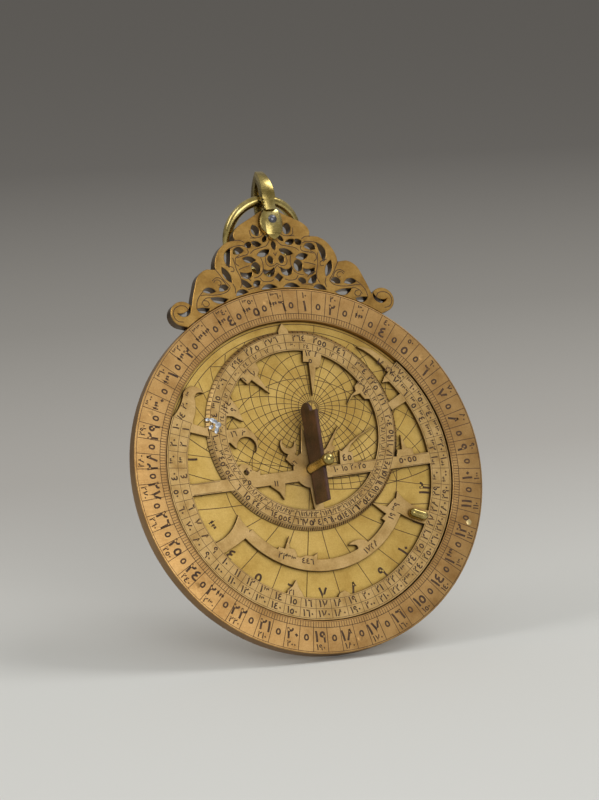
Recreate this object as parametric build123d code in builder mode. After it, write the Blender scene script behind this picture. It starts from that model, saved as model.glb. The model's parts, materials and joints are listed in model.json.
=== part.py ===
from build123d import *
import math
import os

# Planispheric astrolabe. Millimetres. The disc stands upright in the XZ plane: the front
# of the limb is y = 0 and faces -Y, +X is the viewer's right, +Z runs up through the throne,
# and the pivot axis is the Y axis.

# ---- driving dimensions -------------------------------------------------------------
mater_radius = 78.0
mater_depth = 6.8
back_thickness = 1.5
limb_width = 13.8
limb_edge_bevel = 0.4
plate_thickness = 0.65
plate_count = 4
plate_side_clearance = 0.2
pin_radius = 2.2
running_clearance = 0.05

limb_rivet_radius = 1.0
limb_rivet_inset = 4.8
limb_rivet_count = 6
limb_rivet_start = -23.6
peg_radius = 1.2
peg_inset = 1.6
peg_angle = -102.0

rete_thickness = 1.6
rete_gap = 0.25
rete_turn = 2.2
rete_side_clearance = 0.4
rete_band_width = 9.2
# The tropic of Capricorn lies this far inside the map's edge; the other circles follow from
# it by stereographic projection.
tropic_inset = 3.8
obliquity = 23.5
ecliptic_width = 8.7
ecliptic_bevel = 1.3
equator_arc_outside = 3.9
equator_arc_inside = 1.0
hub_radius = 8.0
bar_top = 0.5
bar_bottom = -4.5
upright_bar_width = 4.2

knob_length = 8.5
knob_width = 4.0
knob_height = 3.5
knob_stub_radius = 0.9
knob_drawn_place = (43.2, -25.5)
knob_angle = -24.0

alidade_gap = 0.25
alidade_thickness = 2.0
alidade_boss_radius = 10.0
alidade_inset = 3.0
alidade_tip = 13.0
alidade_width = 11.0
vane_inset = 23.0
vane_width = 11.0
vane_height = 11.5
vane_thickness = 1.5
vane_foot = 6.0
vane_rivet_radius = 0.8
vane_rivet_head = 1.4
vane_rivet_spacing = 6.0
vane_crown = 3.0
sight_hole_height = 6.5
sight_hole_radius = 0.7

pin_head_radius = 5.0
pin_head_height = 2.5
pin_ball_radius = 2.65
pin_ball_y = -17.3
wedge_thickness = 1.5
wedge_side_clearance = 0.1
wedge_back_y = 0.6
wedge_above = 24.6
wedge_below = 15.1
wedge_front_above = 22.1
wedge_front_below = 15.9
wedge_depth_above = 14.3
wedge_depth_below = 12.0
wedge_lobe = 2.6
slot_front_y = -13.25

throne_front = 0.2
throne_thickness = 5.4
throne_fit = 0.05
# The shackle's rivet stands this far above the limb.
throne_rise = 29.75
tenon_width = 10.0
tenon_centre = 21.0
tenon_depth = 6.5
tenon_thickness = 3.0

shackle_gap = 0.3
shackle_arm_depth = 3.4
shackle_arm_width = 5.8
shackle_pin_radius = 1.5
shackle_head_radius = 1.85
shackle_head_height = 0.9
# Heights of the shackle above its rivet.
shackle_apex = 23.0
shackle_inner_apex = 18.4
shackle_foot = 4.2
shackle_shoulder = 9.2
shackle_collars = (4.7, 6.1, 7.5)
collar_width = 5.4
collar_height = 1.2
almond_tip = -8.6
almond_middle = -1.0
almond_top = 4.9
almond_half_width = 5.1

ring_wire = 2.2
ring_wire_sides = 16
ring_radius = 15.7
ring_top_rise = 10.4
ring_top_set_back = 0.5
ring_tilt = 29.0

# ---- derived values -----------------------------------------------------------------
limb_inner_radius = mater_radius - limb_width
limb_rivet_circle = mater_radius - limb_rivet_inset
limb_back = mater_depth - back_thickness
plates_front = limb_back - plate_count * plate_thickness
rete_back = plates_front - rete_gap
rete_front = rete_back - rete_thickness
bore_radius = pin_radius + running_clearance
plate_radius = limb_inner_radius - plate_side_clearance
peg_circle = plate_radius - peg_inset
rete_radius = limb_inner_radius - rete_side_clearance
rete_band_inner = rete_radius - rete_band_width
# The pointers and forks are drawn for a map of 63.8 mm radius and grow with the real one.
map_scale = rete_radius / 63.8
projection = math.tan(math.radians(45 - obliquity / 2))
capricorn_radius = rete_radius - tropic_inset
equator_radius = capricorn_radius * projection
cancer_radius = equator_radius * projection
ecliptic_radius = (capricorn_radius + cancer_radius) / 2
ecliptic_inner = ecliptic_radius - ecliptic_width
ecliptic_height = (capricorn_radius - cancer_radius) / 2
equator_arc_outer = equator_radius + equator_arc_outside
equator_arc_inner = equator_radius - equator_arc_inside
knob_place = (knob_drawn_place[0] * map_scale, knob_drawn_place[1] * map_scale)
alidade_reach = mater_radius - alidade_inset
vane_radius = alidade_reach - vane_inset
alidade_front = mater_depth + alidade_gap
alidade_back = alidade_front + alidade_thickness
pin_head_y = alidade_back + 0.1
throne_middle = throne_front + throne_thickness / 2
throne_bottom = mater_radius + throne_fit
throne_pin_height = throne_bottom + throne_rise
tenon_floor = mater_radius - tenon_depth
ring_top = (0.0, throne_middle + ring_top_set_back, throne_pin_height + ring_top_rise)

rete_plane = Plane(
    origin=(0, rete_back, 0),
    x_dir=(math.cos(math.radians(rete_turn)), 0, math.sin(math.radians(rete_turn))),
    z_dir=(0, -1, 0),
)


def face_plane(depth):
    """Plane at y = depth that looks forward: local x is X and local y is Z."""
    return Plane.XZ.offset(-depth)


def rivet_plane(depth):
    """The plane above with its origin moved up to the shackle's rivet."""
    return Plane(origin=(0, depth, throne_pin_height), x_dir=(1, 0, 0), z_dir=(0, -1, 0))


def side_plane(x):
    """Plane at x whose local x is Y and whose local y is the height above the shackle's rivet."""
    return Plane(origin=(x, 0, throne_pin_height), x_dir=(0, 1, 0), z_dir=(1, 0, 0))


def crest(x, z):
    """Point of the throne, drawn for a seat at 78.05 and a rivet 29.75 above it."""
    return (x, throne_bottom + (z - 78.05) * throne_rise / 29.75)


def on_circle(radius, angle):
    """Point at an angle in degrees measured counter-clockwise from +X."""
    turn = math.radians(angle)
    return (radius * math.cos(turn), radius * math.sin(turn))


def outline(*points):
    """Flat shape with straight sides through the points."""
    with BuildSketch() as shape:
        with BuildLine():
            Polyline(*points, close=True)
        make_face()
    return shape.sketch


def band_sector(inner, outer, start, sweep):
    """Part of a flat ring from a start angle over a sweep in degrees."""
    with BuildSketch() as shape:
        with BuildLine():
            CenterArc((0, 0), outer, start, sweep)
            CenterArc((0, 0), inner, start, sweep)
            Line(on_circle(inner, start), on_circle(outer, start))
            Line(on_circle(inner, start + sweep), on_circle(outer, start + sweep))
        make_face()
    return shape.sketch


os.makedirs("parts", exist_ok=True)

# ---- mater --------------------------------------------------------------------------
with BuildPart() as back_plate:
    with BuildSketch(face_plane(mater_depth)):
        Circle(mater_radius)
        Circle(bore_radius, mode=Mode.SUBTRACT)
        with PolarLocations(limb_rivet_circle, limb_rivet_count, start_angle=limb_rivet_start):
            Circle(limb_rivet_radius, mode=Mode.SUBTRACT)
        with Locations(on_circle(peg_circle, peg_angle)):
            Circle(peg_radius, mode=Mode.SUBTRACT)
    extrude(amount=back_thickness)
    rim = back_plate.edges().filter_by(GeomType.CIRCLE).group_by(SortBy.RADIUS)[-1]
    chamfer(rim.sort_by(Axis.Y)[-1], limb_edge_bevel)
back_plate.part.label = "back_plate"

with BuildPart() as limb_ring:
    with BuildSketch(face_plane(limb_back)):
        Circle(mater_radius)
        Circle(limb_inner_radius, mode=Mode.SUBTRACT)
        with PolarLocations(limb_rivet_circle, limb_rivet_count, start_angle=limb_rivet_start):
            Circle(limb_rivet_radius, mode=Mode.SUBTRACT)
    extrude(amount=limb_back)
    rim = limb_ring.edges().filter_by(GeomType.CIRCLE).group_by(SortBy.RADIUS)[-1]
    chamfer(rim.sort_by(Axis.Y)[0], limb_edge_bevel)
    with BuildSketch(face_plane(throne_middle + tenon_thickness / 2)):
        with Locations((-tenon_centre, tenon_floor), (tenon_centre, tenon_floor)):
            Rectangle(tenon_width, 10, align=(Align.CENTER, Align.MIN))
    extrude(amount=tenon_thickness, mode=Mode.SUBTRACT)
limb_ring.part.label = "limb_ring"

with BuildPart() as limb_rivets:
    with BuildSketch(face_plane(mater_depth)):
        with PolarLocations(limb_rivet_circle, limb_rivet_count, start_angle=limb_rivet_start):
            Circle(limb_rivet_radius)
    extrude(amount=mater_depth)
limb_rivets.part.label = "limb_rivets"

with BuildPart() as plate_peg:
    with BuildSketch(face_plane(mater_depth)):
        with Locations(on_circle(peg_circle, peg_angle)):
            Circle(peg_radius)
    extrude(amount=mater_depth - plates_front - 0.05)
plate_peg.part.label = "plate_peg"


# ---- plates -------------------------------------------------------------------------
def latitude_plate(number):
    """One plate of the stack, with the notch at its edge that keeps it from turning."""
    with BuildPart() as plate:
        with BuildSketch(face_plane(plates_front + number * plate_thickness)):
            Circle(plate_radius)
            Circle(bore_radius, mode=Mode.SUBTRACT)
            with Locations(Location((0, 0, 0), (0, 0, peg_angle))):
                with Locations((peg_circle, 0)):
                    Circle(peg_radius + running_clearance, mode=Mode.SUBTRACT)
                with Locations((peg_circle, 0)):
                    Rectangle(
                        4,
                        2 * (peg_radius + running_clearance),
                        align=(Align.MIN, Align.CENTER),
                        mode=Mode.SUBTRACT,
                    )
        extrude(amount=plate_thickness)
    plate.part.label = f"plate_{number}"
    return plate.part


plate_1 = latitude_plate(1)
plate_2 = latitude_plate(2)
plate_3 = latitude_plate(3)
plate_4 = latitude_plate(4)

# ---- rete ---------------------------------------------------------------------------
# Star pointers, in the rete's own plane. The first and last points lie inside the bar or
# ring that carries the pointer, and the tip is the point furthest from them.
star_pointers = {
    "long pointer": [
        (40.5, 32.8), (41.9, 35.1), (44.0, 36.9), (41.6, 40.9), (37.8, 45.3), (34.9, 47.7),
        (32.0, 49.6), (35.4, 49.0), (38.9, 47.3), (42.7, 44.0), (46.1, 40.9), (47.9, 39.5),
        (48.6, 40.8), (50.4, 38.2), (47.5, 33.0),
    ],
    "top dagger": [
        (7.3, 52.5), (7.3, 50.5), (6.4, 45.8), (8.7, 45.4), (7.5, 31.0), (11.5, 42.6),
        (13.0, 42.5), (14.4, 44.5), (15.2, 47.5), (16.9, 49.5),
    ],
    "upper left dagger": [
        (-26.0, 43.2), (-24.9, 41.9), (-23.6, 42.7), (-20.5, 39.0), (-18.4, 40.7),
        (-11.5, 34.1), (-15.4, 42.3), (-14.1, 44.4), (-15.1, 48.1), (-15.6, 49.4),
    ],
    "left dagger": [
        (-35.2, 27.0), (-33.7, 27.0), (-30.3, 26.5), (-25.9, 23.7), (-26.9, 29.4),
        (-29.0, 33.5), (-31.6, 35.0),
    ],
    "right pointer": [
        (31.3, 36.0), (29.9, 34.9), (27.3, 32.6), (27.4, 30.6), (24.8, 28.9), (22.3, 25.6),
        (25.8, 28.7), (29.1, 29.3), (30.7, 26.7), (33.7, 26.4), (35.2, 27.2),
    ],
    "bar flame": [
        (13.3, -1.0), (13.4, 1.2), (14.2, 6.3), (15.2, 5.8), (20.1, 9.3), (25.2, 12.1),
        (33.0, 15.0), (24.1, 10.8), (20.0, 8.1), (18.2, 5.2), (19.9, 4.9), (19.8, -1.0),
    ],
    "bar spike": [
        (39.6, -1.0), (39.8, 0.8), (40.8, 3.3), (42.8, 3.2), (43.5, 9.5), (44.9, 3.5),
        (47.8, 3.0), (47.7, -1.0),
    ],
    "hub flame": [
        (3.5, 5.0), (8.5, 8.0), (9.6, 9.5), (15.9, 16.9), (11.3, 8.9), (13.0, 8.4),
        (12.0, 6.9), (6.5, 2.0),
    ],
    "hub dagger": [(-3.6, 6.0), (-3.0, 7.8), (-0.5, 19.4), (1.6, 7.6), (1.6, 6.0)],
    "left bar drop": [
        (-19.8, -3.0), (-19.5, -4.9), (-16.1, -7.8), (-14.7, -11.1), (-13.6, -7.6),
        (-13.0, -4.9), (-12.8, -3.0),
    ],
    "left bar block": [
        (-33.2, -1.0), (-32.4, 4.6), (-30.6, 6.1), (-27.6, 5.4), (-26.2, 2.9), (-24.4, 1.9),
        (-22.7, 2.9), (-23.4, -1.0),
    ],
    "arc flame left": [
        (-22.9, -32.2), (-21.5, -30.3), (-19.0, -31.4), (-16.1, -26.5), (-17.0, -31.5),
        (-14.8, -32.3), (-14.3, -34.6), (-14.9, -37.2),
    ],
    "arc leaf": [
        (-13.4, -37.5), (-13.0, -36.0), (-10.4, -35.5), (-7.2, -36.2), (-4.9, -34.9),
        (-5.8, -37.2), (-6.0, -39.5),
    ],
    "fork dagger": [
        (32.8, -24.2), (28.7, -26.5), (26.8, -24.7), (29.3, -23.1), (24.0, -17.7),
        (30.4, -20.1), (34.8, -17.0), (36.5, -19.0),
    ],
    "band flame": [
        (-22.6, -54.0), (-22.6, -51.0), (-21.5, -48.6), (-19.0, -47.2), (-16.9, -44.8),
        (-16.5, -48.3), (-15.6, -50.3), (-14.8, -53.5), (-14.4, -56.5),
    ],
    "band leaf": [
        (0.2, -58.6), (0.3, -54.2), (1.3, -53.0), (3.4, -52.3), (5.3, -53.6), (6.3, -55.6),
        (6.3, -58.6),
    ],
    "winter solstice pointer": [
        (-2.2, 58.0), (-2.1, 59.8), (-1.3, 61.3), (0.1, 63.4), (1.4, 61.4), (2.4, 60.0),
        (2.4, 58.0),
    ],
}


def left_hook():
    """Hooked pointer that stands on the upper end of the outer band."""
    with BuildSketch() as shape:
        with BuildLine():
            Line((-54.8, 27.0), (-56.4, 29.4))
            ThreePointArc((-56.4, 29.4), (-52.2, 33.6), (-49.6, 39.0))
            ThreePointArc((-49.6, 39.0), (-45.1, 41.1), (-40.7, 37.4))
            ThreePointArc((-40.7, 37.4), (-43.6, 38.0), (-45.2, 35.6))
            ThreePointArc((-45.2, 35.6), (-45.6, 31.6), (-47.6, 27.0))
            Line((-47.6, 27.0), (-48.6, 23.6))
            Line((-48.6, 23.6), (-54.8, 27.0))
        make_face()
    return shape.sketch


def ring_crescent():
    """Crescent inside the ecliptic ring on the left."""
    with BuildSketch() as shape:
        with BuildLine():
            Line((-37.6, 21.2), (-29.5, 21.0))
            ThreePointArc((-29.5, 21.0), (-22.3, 18.0), (-22.9, 10.4))
            ThreePointArc((-22.9, 10.4), (-24.3, 16.6), (-30.4, 15.0))
            Line((-30.4, 15.0), (-31.2, 12.7))
            Line((-31.2, 12.7), (-33.6, 15.6))
            Line((-33.6, 15.6), (-38.0, 14.2))
            Line((-38.0, 14.2), (-37.6, 21.2))
        make_face()
    return shape.sketch


def hub_crescent():
    """Two horns that stand on the upper left of the hub."""
    with BuildSketch() as shape:
        with BuildLine():
            Line((-5.0, 2.0), (-8.4, 3.0))
            Line((-8.4, 3.0), (-10.4, 5.5))
            Line((-10.4, 5.5), (-8.9, 7.5))
            ThreePointArc((-8.9, 7.5), (-11.6, 10.4), (-10.1, 14.5))
            ThreePointArc((-10.1, 14.5), (-8.4, 10.0), (-5.0, 12.9))
            ThreePointArc((-5.0, 12.9), (-4.6, 9.8), (-6.0, 7.2))
            Line((-6.0, 7.2), (-3.0, 5.0))
            Line((-3.0, 5.0), (-5.0, 2.0))
        make_face()
    return shape.sketch


def arc_crescent():
    """Crescent on the inner edge of the lower arc, on the right."""
    with BuildSketch() as shape:
        with BuildLine():
            Line((19.2, -34.2), (17.0, -32.6))
            ThreePointArc((17.0, -32.6), (13.2, -32.2), (9.4, -33.7))
            Line((9.4, -33.7), (12.0, -34.1))
            ThreePointArc((12.0, -34.1), (13.5, -35.6), (12.2, -37.0))
            Line((12.2, -37.0), (15.0, -37.6))
            Line((15.0, -37.6), (16.4, -38.4))
            Line((16.4, -38.4), (19.2, -34.2))
        make_face()
    return shape.sketch


def left_fork():
    """Foot of the lower arc on the left, flaring out to the band."""
    with BuildSketch() as shape:
        with BuildLine():
            ThreePointArc((-36.4, -14.7), (-41.4, -21.2), (-48.8, -25.0))
            Line((-48.8, -25.0), (-52.0, -26.6))
            Line((-52.0, -26.6), (-49.4, -31.6))
            Line((-49.4, -31.6), (-46.4, -29.8))
            ThreePointArc((-46.4, -29.8), (-41.0, -27.6), (-35.4, -24.8))
            Line((-35.4, -24.8), (-32.6, -21.6))
            ThreePointArc((-32.6, -21.6), (-34.9, -18.5), (-36.4, -14.7))
        make_face()
    return shape.sketch


def right_fork():
    """Foot of the lower arc on the right, flaring out to the band."""
    with BuildSketch() as shape:
        with BuildLine():
            ThreePointArc((36.5, -14.2), (40.6, -19.8), (46.6, -23.2))
            Line((46.6, -23.2), (50.6, -25.2))
            Line((50.6, -25.2), (49.2, -31.8))
            Line((49.2, -31.8), (46.1, -29.8))
            ThreePointArc((46.1, -29.8), (41.2, -27.4), (36.2, -24.2))
            Line((36.2, -24.2), (32.4, -22.0))
            ThreePointArc((32.4, -22.0), (34.7, -18.4), (36.5, -14.2))
        make_face()
    return shape.sketch


with BuildPart() as rete:
    with BuildSketch(rete_plane):
        with Locations((0, ecliptic_height)):
            Circle(ecliptic_radius)
            Circle(ecliptic_inner, mode=Mode.SUBTRACT)
    extrude(amount=rete_thickness)
    ring_rim = rete.edges().filter_by(GeomType.CIRCLE).group_by(SortBy.RADIUS)[-1]
    chamfer(ring_rim.sort_by(Axis.Y)[0], ecliptic_bevel)
    with BuildSketch(rete_plane):
        add(band_sector(rete_band_inner, rete_radius, 152.2, 247.8))
        add(band_sector(equator_arc_inner, equator_arc_outer, 214, 112))
        add(left_fork().scale(map_scale))
        add(right_fork().scale(map_scale))
        add(outline((-57.0, 29.2), (-42.0, 22.7), (-42.0, 19.1), (-52.0, 22.8)).scale(map_scale))
        add(outline((41.0, 23.8), (49.5, 28.1), (51.5, 24.3), (42.0, 20.3)).scale(map_scale))
        with Locations((0, (bar_top + bar_bottom) / 2)):
            Rectangle(2 * rete_band_inner + 2, bar_top - bar_bottom)
        with Locations((0, ecliptic_height - ecliptic_inner - 1)):
            Rectangle(
                upright_bar_width,
                ecliptic_inner - ecliptic_height + 2 - hub_radius,
                align=(Align.CENTER, Align.MIN),
            )
        for points in star_pointers.values():
            add(outline(*points).scale(map_scale))
        add(left_hook().scale(map_scale))
        add(ring_crescent().scale(map_scale))
        add(hub_crescent().scale(map_scale))
        add(arc_crescent().scale(map_scale))
        Circle(hub_radius)
        Circle(bore_radius, mode=Mode.SUBTRACT)
        with Locations((-29.2 * map_scale, 2.2 * map_scale)):
            Circle(1.1, mode=Mode.SUBTRACT)
        with Locations(knob_place):
            Circle(knob_stub_radius, mode=Mode.SUBTRACT)
    extrude(amount=rete_thickness)
rete.part.label = "rete"

with BuildPart() as rete_knob:
    with BuildSketch(rete_plane):
        with Locations(knob_place):
            Circle(knob_stub_radius)
    extrude(amount=rete_thickness)
    with BuildSketch(rete_plane.offset(rete_thickness)):
        with Locations(Location((knob_place[0], knob_place[1], 0), (0, 0, knob_angle))):
            SlotOverall(knob_length, knob_width)
    extrude(amount=knob_height)
    top_face = rete_knob.faces().sort_by(Axis.Y)[0]
    fillet(top_face.edges(), knob_width / 2 - 0.2)
rete_knob.part.label = "rete_knob"

# ---- alidade ------------------------------------------------------------------------
half_width = alidade_width / 2
with BuildPart() as alidade:
    with BuildSketch(face_plane(alidade_back)):
        with BuildLine():
            Polyline(
                (0, half_width),
                (alidade_reach - alidade_tip, half_width),
                (alidade_reach - alidade_tip + 3, half_width - 2.5),
                (alidade_reach, 0),
                (alidade_reach - alidade_tip + 3, -half_width + 2.5),
                (alidade_reach - alidade_tip, -half_width),
                (0, -half_width),
            )
            Line((0, -half_width), (0, half_width))
        make_face()
        mirror(about=Plane.YZ)
        Circle(alidade_boss_radius)
        Circle(bore_radius, mode=Mode.SUBTRACT)
        rivet_x = vane_radius + vane_thickness + (vane_foot - vane_thickness) / 2
        with GridLocations(2 * rivet_x, vane_rivet_spacing, 2, 2):
            Circle(vane_rivet_radius, mode=Mode.SUBTRACT)
    extrude(amount=alidade_thickness)
alidade.part.label = "alidade"


def sight_vane(side, label):
    """Upright sighting vane with its riveted foot; side is +1 on the right, -1 on the left."""
    with BuildPart() as vane:
        with BuildSketch(face_plane(alidade_back + vane_thickness)):
            with Locations((side * vane_radius, 0)):
                Rectangle(
                    vane_foot,
                    vane_width,
                    align=(Align.MIN if side > 0 else Align.MAX, Align.CENTER),
                )
            with Locations(
                (side * rivet_x, -vane_rivet_spacing / 2), (side * rivet_x, vane_rivet_spacing / 2)
            ):
                Circle(vane_rivet_radius, mode=Mode.SUBTRACT)
        extrude(amount=vane_thickness)
        with BuildSketch(Plane.YZ.offset(side * (vane_radius + (0 if side > 0 else vane_thickness)))):
            with BuildLine():
                foot_y = alidade_back
                top_y = alidade_back + vane_height
                Polyline(
                    (top_y - vane_crown, vane_width / 2),
                    (foot_y, vane_width / 2),
                    (foot_y, -vane_width / 2),
                    (top_y - vane_crown, -vane_width / 2),
                )
                ThreePointArc((top_y - vane_crown, -vane_width / 2), (top_y, 0), (top_y - vane_crown, vane_width / 2))
            make_face()
            with Locations((alidade_back + sight_hole_height, 0)):
                Circle(sight_hole_radius, mode=Mode.SUBTRACT)
        extrude(amount=vane_thickness)
    vane.part.label = label
    return vane.part


vane_1 = sight_vane(1, "vane_1")
vane_2 = sight_vane(-1, "vane_2")

with BuildPart() as vane_rivets:
    with BuildSketch(face_plane(alidade_back + vane_thickness)):
        with GridLocations(2 * rivet_x, vane_rivet_spacing, 2, 2):
            Circle(vane_rivet_radius)
    extrude(amount=alidade_thickness + vane_thickness)
    with BuildSketch(face_plane(alidade_back + vane_thickness)):
        with GridLocations(2 * rivet_x, vane_rivet_spacing, 2, 2):
            Circle(vane_rivet_head)
    extrude(amount=-0.8)
    domes = vane_rivets.faces().sort_by(Axis.Y)[-4:]
    chamfer(domes.edges(), 0.5)
vane_rivets.part.label = "vane_rivets"

# ---- pin and wedge ------------------------------------------------------------------
with BuildPart() as pivot_pin:
    with BuildSketch(Plane.XY):
        with BuildLine():
            Line((0, pin_ball_y), (0, pin_head_y + pin_head_height))
            Polyline(
                (0, pin_head_y + pin_head_height),
                (2.6, pin_head_y + 2.1),
                (4.2, pin_head_y + 1.3),
                (pin_head_radius, pin_head_y + 0.5),
                (pin_head_radius, pin_head_y),
            )
            Line((pin_head_radius, pin_head_y), (pin_radius, pin_head_y))
            Line((pin_radius, pin_head_y), (pin_radius, pin_ball_y))
            Line((pin_radius, pin_ball_y), (0, pin_ball_y))
        make_face()
    revolve(axis=Axis.Y)
    with Locations((0, pin_ball_y, 0)):
        Sphere(pin_ball_radius)
    with BuildSketch(face_plane(wedge_back_y + running_clearance)):
        Rectangle(wedge_thickness + 2 * wedge_side_clearance, 8)
    extrude(amount=wedge_back_y + running_clearance - slot_front_y, mode=Mode.SUBTRACT)
pivot_pin.part.label = "pivot_pin"

with BuildPart() as wedge:
    with BuildSketch(Plane.YZ.offset(-wedge_thickness / 2)):
        with BuildLine():
            heel = (wedge_back_y, -wedge_below)
            toe = (-wedge_depth_below, -wedge_front_below)
            front_top = (-wedge_depth_above, wedge_front_above)
            notch = (front_top[0] + 5.0, wedge_front_above + 0.6)
            lobe = (notch[0] + 4.7, wedge_above + wedge_lobe)
            back_top = (wedge_back_y, wedge_above)
            Polyline(back_top, heel, toe, front_top, notch)
            ThreePointArc(notch, (notch[0] + 1.7, lobe[1] - 1.6), lobe)
            ThreePointArc(lobe, (lobe[0] + 3.0, lobe[1] - 0.4), back_top)
        make_face()
    extrude(amount=wedge_thickness)
wedge.part.label = "wedge"


# ---- throne -------------------------------------------------------------------------
# Piercings of the right half, each cut along two arcs: start, bulge, end, other bulge.
throne_leaves = [
    [(7.9, 106.7), (9.0, 104.0), (6.3, 101.8), (5.5, 104.7)],
    [(2.4, 101.7), (4.3, 100.8), (4.6, 98.9), (2.7, 99.9)],
    [(5.5, 97.9), (7.2, 99.4), (9.7, 99.3), (7.9, 97.1)],
    [(10.4, 99.3), (12.0, 99.2), (13.1, 98.3), (11.0, 96.8)],
    [(13.9, 95.7), (16.1, 97.4), (18.8, 94.5), (15.9, 94.5)],
    [(19.7, 97.2), (23.3, 93.2), (21.5, 88.7), (20.5, 92.9)],
    [(25.0, 89.2), (24.9, 85.4), (21.6, 82.2), (22.2, 86.4)],
    [(9.2, 91.3), (11.9, 93.0), (15.0, 92.2), (12.3, 90.2)],
    [(9.7, 90.5), (11.7, 87.8), (9.1, 85.2), (7.7, 88.2)],
    [(17.1, 86.4), (14.4, 85.9), (11.7, 86.3), (14.3, 83.4)],
    [(8.6, 81.8), (10.8, 82.3), (12.1, 80.2), (9.9, 80.0)],
    [(17.0, 83.4), (14.7, 82.2), (12.9, 80.1), (16.5, 80.3)],
    [(20.6, 76.3), (18.3, 78.9), (15.0, 77.6), (18.0, 76.7)],
    [(1.5, 78.8), (5.0, 80.4), (8.7, 78.3), (5.1, 78.5)],
    [(23.4, 80.2), (25.4, 81.6), (27.8, 78.9), (25.1, 79.0)],
    [(35.2, 79.2), (32.7, 80.7), (29.5, 78.9), (32.3, 78.2)],
    [(32.4, 76.2), (28.8, 76.3), (24.6, 75.2), (28.9, 73.6)],
    [(39.2, 71.9), (36.3, 72.2), (33.4, 71.7), (36.7, 69.9)],
    [(2.1, 95.4), (5.2, 95.5), (8.2, 93.2), (4.6, 92.7)],
    [(2.7, 92.8), (3.8, 90.9), (2.0, 89.2), (1.3, 91.2)],
    [(1.7, 87.5), (4.1, 86.4), (6.5, 87.4), (4.2, 83.7)],
    [(42.0, 73.6), (44.3, 70.9), (48.1, 70.7), (45.0, 69.0)],
]
# The three lobes of the right-hand edge, from the top down.
throne_lobes = [
    [(0, 113.4), (3, 112.6), (8, 110), (12, 108), (15.6, 105.7), (17.3, 103.2), (17.1, 100.4)],
    [(20.5, 99.9), (24, 97.8), (26.5, 94.5), (27.8, 91.2), (28, 88.3)],
    [(31.8, 88.6), (34.6, 87.5), (37, 85), (38.4, 81.6), (39.7, 78.2), (40.7, 75), (41.3, 73.1)],
]


def leaf(start, bulge, end, other_bulge):
    """Pointed piercing between two arcs that run from start to end."""
    with BuildSketch() as shape:
        with BuildLine():
            ThreePointArc(start, bulge, end)
            ThreePointArc(end, other_bulge, start)
        make_face()
    return shape.sketch


with BuildPart() as throne:
    with BuildSketch(face_plane(throne_front + throne_thickness)):
        with BuildLine():
            for lobe_points in throne_lobes:
                Spline(*[crest(x, z) for x, z in lobe_points])
            for upper, lower in zip(throne_lobes, throne_lobes[1:]):
                Line(crest(*upper[-1]), crest(*lower[0]))
            ThreePointArc(crest(41.3, 73.1), crest(50.9, 68.9), crest(47.0, 65.1))
            Polyline(
                crest(47.0, 65.1),
                on_circle(throne_bottom, 55.4),
                on_circle(throne_bottom - 1.5, 55.4),
                (0, throne_bottom - 18),
                crest(*throne_lobes[0][0]),
            )
        make_face()
        mirror(about=Plane.YZ)
        Circle(throne_bottom, mode=Mode.SUBTRACT)
        for side in (1, -1):
            for points in throne_leaves:
                corners = [crest(side * x, z) for x, z in points]
                add(leaf(*corners), mode=Mode.SUBTRACT)
        with Locations(crest(0, 83.1)):
            RegularPolygon(1.9, 4, mode=Mode.SUBTRACT)
        add(leaf(crest(0, 99.2), crest(1.1, 97.4), crest(0, 95.2), crest(-1.1, 97.4)), mode=Mode.SUBTRACT)
        with Locations((0, throne_pin_height)):
            Circle(shackle_pin_radius + running_clearance, mode=Mode.SUBTRACT)
    extrude(amount=throne_thickness)
    with BuildSketch(face_plane(throne_middle + tenon_thickness / 2)):
        with Locations((-tenon_centre, tenon_floor), (tenon_centre, tenon_floor)):
            Rectangle(tenon_width, tenon_depth, align=(Align.CENTER, Align.MIN))
        Circle(throne_bottom + 0.2, mode=Mode.INTERSECT)
    extrude(amount=tenon_thickness)
throne.part.label = "throne"

# ---- shackle ------------------------------------------------------------------------
arm_inner = throne_front - shackle_gap
arm_outer = arm_inner - shackle_arm_depth

with BuildPart() as shackle:
    # Pointed loop, front half: it is mirrored to the back at the end.
    with BuildSketch(side_plane(-shackle_arm_width / 2)):
        with BuildLine():
            Line((arm_inner, shackle_foot), (arm_outer, shackle_foot))
            Line((arm_outer, shackle_foot), (arm_outer, shackle_shoulder))
            ThreePointArc(
                (arm_outer, shackle_shoulder),
                (arm_outer + 1.5, shackle_shoulder + 8.4),
                (throne_middle, shackle_apex),
            )
            Line((throne_middle, shackle_apex), (throne_middle, shackle_inner_apex))
            ThreePointArc(
                (throne_middle, shackle_inner_apex),
                (arm_inner + 0.8, shackle_shoulder + 5.8),
                (arm_inner, shackle_shoulder + 0.5),
            )
            Line((arm_inner, shackle_shoulder + 0.5), (arm_inner, shackle_foot))
        make_face()
    extrude(amount=shackle_arm_width)
    half_arm = shackle_arm_width / 2
    with BuildSketch(rivet_plane(20)):
        with BuildLine():
            Polyline(
                (0, shackle_foot - 2),
                (half_arm - 0.7, shackle_foot - 2),
                (half_arm - 0.7, shackle_shoulder - 0.4),
                (half_arm, shackle_shoulder),
                (half_arm, shackle_shoulder + 3),
                (half_arm - 1.4, shackle_apex + 0.7),
                (0, shackle_apex + 0.7),
            )
            Line((0, shackle_apex + 0.7), (0, shackle_foot - 2))
        make_face()
        mirror(about=Plane.YZ)
    extrude(amount=40, mode=Mode.INTERSECT)
    for level in shackle_collars:
        with BuildSketch(Plane.XY.offset(throne_pin_height + level)):
            with Locations((0, (arm_inner + arm_outer) / 2)):
                RectangleRounded(collar_width, shackle_arm_depth, 1.2)
        extrude(amount=collar_height)
    mirror(about=face_plane(throne_middle))

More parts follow.
